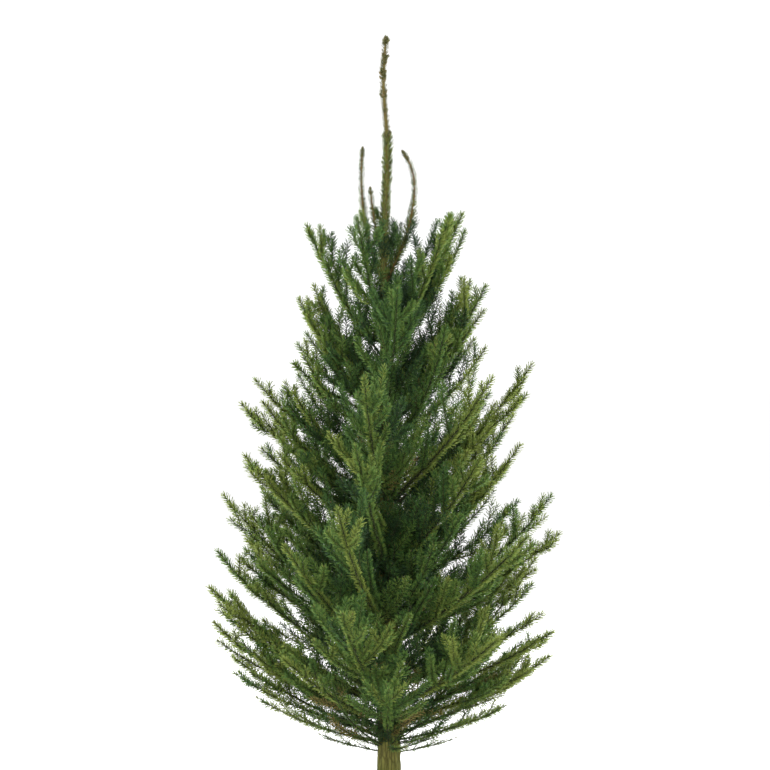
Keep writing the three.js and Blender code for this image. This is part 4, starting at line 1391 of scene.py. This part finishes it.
def copied(piece, name, turn=0.0, move=(0, 0, 0)):
    """A copy with a mesh of its own, turned about the stand's axis and moved."""
    chosen_alone(piece)
    bpy.ops.object.duplicate(linked=False)
    copy = bpy.context.object
    copy.name = copy.data.name = name
    return laid(copy, (0, 0, turn), move)


def picked(piece, kind, test):
    """The faces or edges that pass the test, selected alone in edit mode."""
    bpy.ops.object.mode_set(mode="EDIT")
    bpy.ops.mesh.select_mode(type=kind)
    bpy.ops.mesh.select_all(action="DESELECT")
    bpy.ops.object.mode_set(mode="OBJECT")
    for item in piece.data.polygons if kind == "FACE" else piece.data.edges:
        item.select = test(item)
    bpy.ops.object.mode_set(mode="EDIT")


# Outer wall, rolled rim and inner wall of the bowl: radius and height, from under its floor to on it
BOWL_PROFILE = [
    (95, 0), (100.4, 1.4), (103.2, 4.4), (104, 9), (104, 40), (105.5, 43.2), (106.2, 48), (105.5, 52.8),
    (104, 56), (104, 94), (105.4, 94.8), (107.7, 95.3), (109, 97.6), (108.3, 100.2), (105.8, 101.6),
    (103.2, 100.7), (101.6, 98), (101.5, 56), (103, 52.8), (103.7, 48), (103, 43.2), (101.5, 40),
    (101.5, 12), (100.6, 7.6), (97.8, 4.9), (93.5, 4), (60, 4), (58.6, 3.2), (30, 3.2),
]
QUARTER_TURN = math.pi / 2
LEG_COUNT = 4
SCREW_HEIGHT = 78
BOSS_RADIUS = 9.5
BOSS_START = 102.5
BOSS_LENGTH = 10.5
BOSS_EDGE = 0.8
BOSS_HOLE = 4.5
BOSS_HOLE_EDGE = 0.7
BOSS_HOLE_DEPTH = 8
WELD_RADIUS = 1.5
WELD_PLACE = 104.3
WELD_LUMPS = (2.6, 1.1)  # their size and height
LEG_THICKNESS = 5
LEG_WIDTH = 26
LEG_MIDDLE = 106
LEG_TOP = 90
LEG_START = 62  # the bar is extruded down and outwards from here
LEG_BEND = 12
LEG_BEND_HEIGHT = 41.5
LEG_SLOPE = math.radians(75.65)
LEG_REACH = 262
LEG_CORNER = 7
FOOT_BEND = 5  # the bend into the foot reaches this far to each side of its middle
FOOT_BEND_LIFT = 0.35  # and is rounded off by as much there
RIVET_HEIGHTS = (82, 62)
RIVET_SINK = 0.1
RIVET_PROFILE = [(4.8, 0), (4.8, 0.5), (4.2, 1.5), (2.9, 2.3), (1.2, 2.7)]
# The screw's profile is its radius and how far along it, outwards from the trunk's axis. Its pad and neck are
# measured from the trunk's bark, and a turn of its thread from the turn's own start.
PAD_PROFILE = [(7.4, 0), (8.5, 0.9), (8.5, 3.4), (7.7, 4.2), (5.2, 4.5), (5.2, 6.2), (3.5, 6.6)]
THREAD_PROFILE = [(3.4, 0), (4.05, 0.55), (4.05, 0.85), (3.4, 1.4)]
HEAD_PROFILE = [(4, 119.5), (4, 128.6), (6.6, 129.4), (7.3, 130.4), (7.3, 146), (6.5, 147.3), (4.4, 148)]
THREAD_START = 42.4
THREAD_END = 118
THREAD_PITCH = 1.6
HANDLE_PLACE = 139
HANDLE_END = [(1.6, 29), (3.3, 28.2), (4.4, 26.6), (4.7, 24.9), (4.4, 23.2), (3.4, 21.7), (3.0, 21.2)]


def make_boss(enamel):
    """A round boss with a bevelled edge and a threaded hole, on the bowl's wall."""
    profile = [
        (BOSS_RADIUS, 0), (BOSS_RADIUS, BOSS_LENGTH - BOSS_EDGE), (BOSS_RADIUS - BOSS_EDGE, BOSS_LENGTH),
        (BOSS_HOLE + BOSS_HOLE_EDGE, BOSS_LENGTH), (BOSS_HOLE, BOSS_LENGTH - BOSS_HOLE_EDGE),
        (BOSS_HOLE, BOSS_LENGTH - BOSS_HOLE_DEPTH),
    ]
    boss = turned("boss", profile, 28, enamel)
    return laid(boss, (0, QUARTER_TURN, 0), (BOSS_START, 0, SCREW_HEIGHT))


def make_weld(enamel):
    """The lumpy bead of weld round a boss."""
    lumps = bpy.data.textures.new("weld_lumps", "CLOUDS")
    lumps.noise_scale = WELD_LUMPS[0] * MM
    deselect()
    bpy.ops.mesh.primitive_torus_add(
        major_radius=(BOSS_RADIUS + 0.5) * MM, minor_radius=WELD_RADIUS * MM, major_segments=40,
        minor_segments=8)
    weld = bpy.context.object
    weld.data.materials.append(enamel)
    laid(weld, (0, QUARTER_TURN, 0), (WELD_PLACE, 0, SCREW_HEIGHT))
    modifier = weld.modifiers.new("lumps", "DISPLACE")
    modifier.texture = lumps
    modifier.texture_coords = "LOCAL"
    modifier.strength = WELD_LUMPS[1] * MM
    bpy.ops.object.modifier_apply(modifier="lumps")
    return weld


def make_bowl(enamel):
    """A pressed bowl with a rolled rim and a stiffening rib, and four threaded bosses welded to it."""
    bowl = turned("bowl", BOWL_PROFILE, 96, enamel)
    fittings = [make_boss(enamel), make_weld(enamel)]
    for k in range(1, LEG_COUNT):
        fittings += [copied(fitting, fitting.name, k * QUARTER_TURN) for fitting in fittings[:2]]
    return merged([bowl, *fittings], "bowl")


def leg_path():
    """Middle of the bent flat bar: reach, height and how far it has turned from straight down."""
    path = [(LEG_MIDDLE, LEG_START, 0.0), (LEG_MIDDLE, LEG_BEND_HEIGHT, 0.0)]
    steps = 6
    for k in range(1, steps + 1):
        turn = LEG_SLOPE * k / steps
        x = LEG_MIDDLE + LEG_BEND * (1 - math.cos(turn))
        path.append((x, LEG_BEND_HEIGHT - LEG_BEND * math.sin(turn), turn))
    level = LEG_THICKNESS / 2
    x, z, _ = path[-1]
    foot = x + (z - level) * math.tan(LEG_SLOPE)
    return [
        *path,
        (foot - FOOT_BEND, level + FOOT_BEND / math.tan(LEG_SLOPE), LEG_SLOPE),
        (foot, level + FOOT_BEND_LIFT, (LEG_SLOPE + QUARTER_TURN) / 2),
        (foot + FOOT_BEND, level, QUARTER_TURN),
        (LEG_REACH, level, QUARTER_TURN),
    ]


def make_leg(enamel, zinc):
    """A flat steel bar, bent out and down to a flat foot with rounded corners, on two rivets."""
    deselect()
    bpy.ops.mesh.primitive_cube_add(
        size=1, location=metres(LEG_MIDDLE, 0, (LEG_TOP + LEG_START) / 2),
        scale=metres(LEG_THICKNESS, LEG_WIDTH, LEG_TOP - LEG_START))
    leg = bpy.context.object
    bpy.ops.object.transform_apply(location=True, scale=True)
    # the bar's lower end is carried along the path
    picked(leg, "FACE", lambda face: face.normal.z < -0.9)
    path = leg_path()
    for (x, z, turn), (after_x, after_z, after_turn) in zip(path, path[1:]):
        extruded(metres(after_x - x, 0, after_z - z))
        if after_turn != turn:
            bpy.ops.transform.rotate(
                value=after_turn - turn, orient_axis="Y", center_override=metres(after_x, 0, after_z))

    def is_corner(edge):
        a, b = (leg.data.vertices[i].co / MM for i in edge.vertices)
        at_foot = min(a.x, b.x) > LEG_REACH - 0.5 and abs(a.z - b.z) > 1
        at_top = min(a.z, b.z) > LEG_TOP - 0.5 and abs(a.x - b.x) > 1
        return at_foot or at_top

    picked(leg, "EDGE", is_corner)
    bpy.ops.mesh.bevel(offset=LEG_CORNER * MM, segments=6, affect="EDGES")
    closed_up()
    leg.data.materials.append(enamel)
    bevelled(leg, width=0.7, segments=2)
    high, low = RIVET_HEIGHTS
    rivet = turned("rivet", RIVET_PROFILE, 20, zinc)
    laid(rivet, (0, QUARTER_TURN, 0), (LEG_MIDDLE + LEG_THICKNESS / 2 - RIVET_SINK, 0, high))
    return merged([leg, rivet, copied(rivet, "rivet", move=(0, 0, low - high))], "leg_1")


def make_screw(zinc):
    """A clamping screw: a pad against the bark, a thread, a thick head and a cross handle with ball ends."""
    bark = wood_radius(SCREW_HEIGHT) + GAP
    profile = [(radius, bark + along) for radius, along in PAD_PROFILE]
    for k in range(int((THREAD_END - THREAD_START) / THREAD_PITCH)):
        start = THREAD_START + k * THREAD_PITCH
        profile += [(radius, start + along) for radius, along in THREAD_PROFILE]
    screw = turned("screw", profile + HEAD_PROFILE, 20, zinc)
    laid(screw, (0, QUARTER_TURN, 0), (0, 0, SCREW_HEIGHT))
    handle_profile = [(radius, -along) for radius, along in HANDLE_END] + HANDLE_END[::-1]
    handle = turned("handle", handle_profile, 20, zinc)
    laid(handle, (QUARTER_TURN, 0, 0), (HANDLE_PLACE, 0, SCREW_HEIGHT))
    return merged([screw, handle], "screw_1")


# Camera, light and floor

PIXEL = 2.7  # one pixel of the photograph on the tree
PHOTO_WIDTH = 770 * PIXEL
CAMERA_DISTANCE = 7000
CAMERA_PLACE = (-10.8, -CAMERA_DISTANCE, 1160.5)
SENSOR = 36
# Soft lamps: name, place and side in metres, and watts. All of them are turned to the middle of the tree.
LAMPS = [
    ("left", (-5.0, -0.6, 3.2), 3, 380),
    ("right", (5.0, -0.3, 3.0), 3, 300),
    ("back", (1.0, 5.0, 4.0), 3, 160),
    ("front", (0.5, -6.0, 1.6), 4, 130),
]
LAMP_TARGET = (0, 0, 1.0)
WORLD_STRENGTH = 1.1
FLOOR_SIZE = 900  # metres, so that it reaches the horizon


def place_camera():
    """A level camera in front of the tree, framed as the photograph is."""
    data = bpy.data.cameras.new("camera")
    data.sensor_width = SENSOR
    data.lens = SENSOR * CAMERA_DISTANCE / PHOTO_WIDTH
    data.clip_end = 2000
    camera = bpy.data.objects.new("camera", data)
    camera.location = Vector(CAMERA_PLACE) * MM
    camera.rotation_euler = (QUARTER_TURN, 0, 0)
    bpy.context.scene.collection.objects.link(camera)
    bpy.context.scene.camera = camera


def light_studio():
    """White all round, with soft lamps beside, behind and in front of the tree."""
    world = bpy.data.worlds.new("studio")
    bpy.context.scene.world = world
    world.use_nodes = True
    background = world.node_tree.nodes["Background"]
    background.inputs["Color"].default_value = (1, 1, 1, 1)
    background.inputs["Strength"].default_value = WORLD_STRENGTH
    bpy.context.scene.view_settings.view_transform = "Standard"
    for name, place, size, watts in LAMPS:
        data = bpy.data.lights.new(name, "AREA")
        data.size = size
        data.energy = watts
        lamp = bpy.data.objects.new(name, data)
        lamp.location = place
        lamp.rotation_euler = (Vector(LAMP_TARGET) - Vector(place)).to_track_quat("-Z", "Y").to_euler()
        bpy.context.scene.collection.objects.link(lamp)


def lay_floor():
    """A matt white floor that hardly shines."""
    deselect()
    bpy.ops.mesh.primitive_plane_add(size=FLOOR_SIZE)
    floor = bpy.context.object
    floor.name = "floor"
    paint, _ = new_material(
        "floor_paint", {"Base Color": shade("#f6f6f5"), "Roughness": 1.0, "Specular IOR Level": 0.0})
    floor.data.materials.append(paint)


# The tree and its stand, in the order of the random draws

draw = np.random.RandomState(TWIG_SEED)
crown = Crown(draw)
corners, rows, tone = crown_needles(crown, draw)
leader_needles = leader_pieces(crown.by_rank[BOUGH][crown.is_upright], draw)
crown_pieces = needle_pieces(crown, corners, rows, tone, draw)
twigs = twig_piece(crown)
boughs = bough_piece(crown)
upright_shoots = upright_piece(crown)
buds = bud_piece(crown, draw)
trunk = make_trunk()
enamel = enamel_material()
zinc = zinc_material()
bowl = make_bowl(enamel)
legs = [make_leg(enamel, zinc)]
screws = [make_screw(zinc)]
for k in range(1, LEG_COUNT):
    legs.append(copied(legs[0], f"leg_{k + 1}", k * QUARTER_TURN))
    screws.append(copied(screws[0], f"screw_{k + 1}", k * QUARTER_TURN))
for leg in legs:
    laid(leg, (0, 0, QUARTER_TURN / 2), (0, 0, 0))
place_camera()
light_studio()
lay_floor()

# What each piece rides on and stands for

NEEDLE_NODES = [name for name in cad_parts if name.startswith("needles_")]
BOUGH_NODES = [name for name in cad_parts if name.startswith("bough_")]
for piece in crown_pieces:
    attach(piece, "root")
    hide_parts(*NEEDLE_NODES)
for piece in leader_needles:
    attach(piece, "root")
    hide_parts("leader_shoot")
for piece in (twigs, buds, upright_shoots):
    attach(piece, "root")
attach(boughs, "root")
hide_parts(*BOUGH_NODES)
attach(bowl, "root")
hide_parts("stand_bowl")
for k, (leg, screw) in enumerate(zip(legs, screws)):
    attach(leg, "root")
    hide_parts(f"stand_leg_{k + 1}")
    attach(screw, "root")
    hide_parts(f"clamp_screw_{k + 1}")
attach(trunk, "root")
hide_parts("trunk")
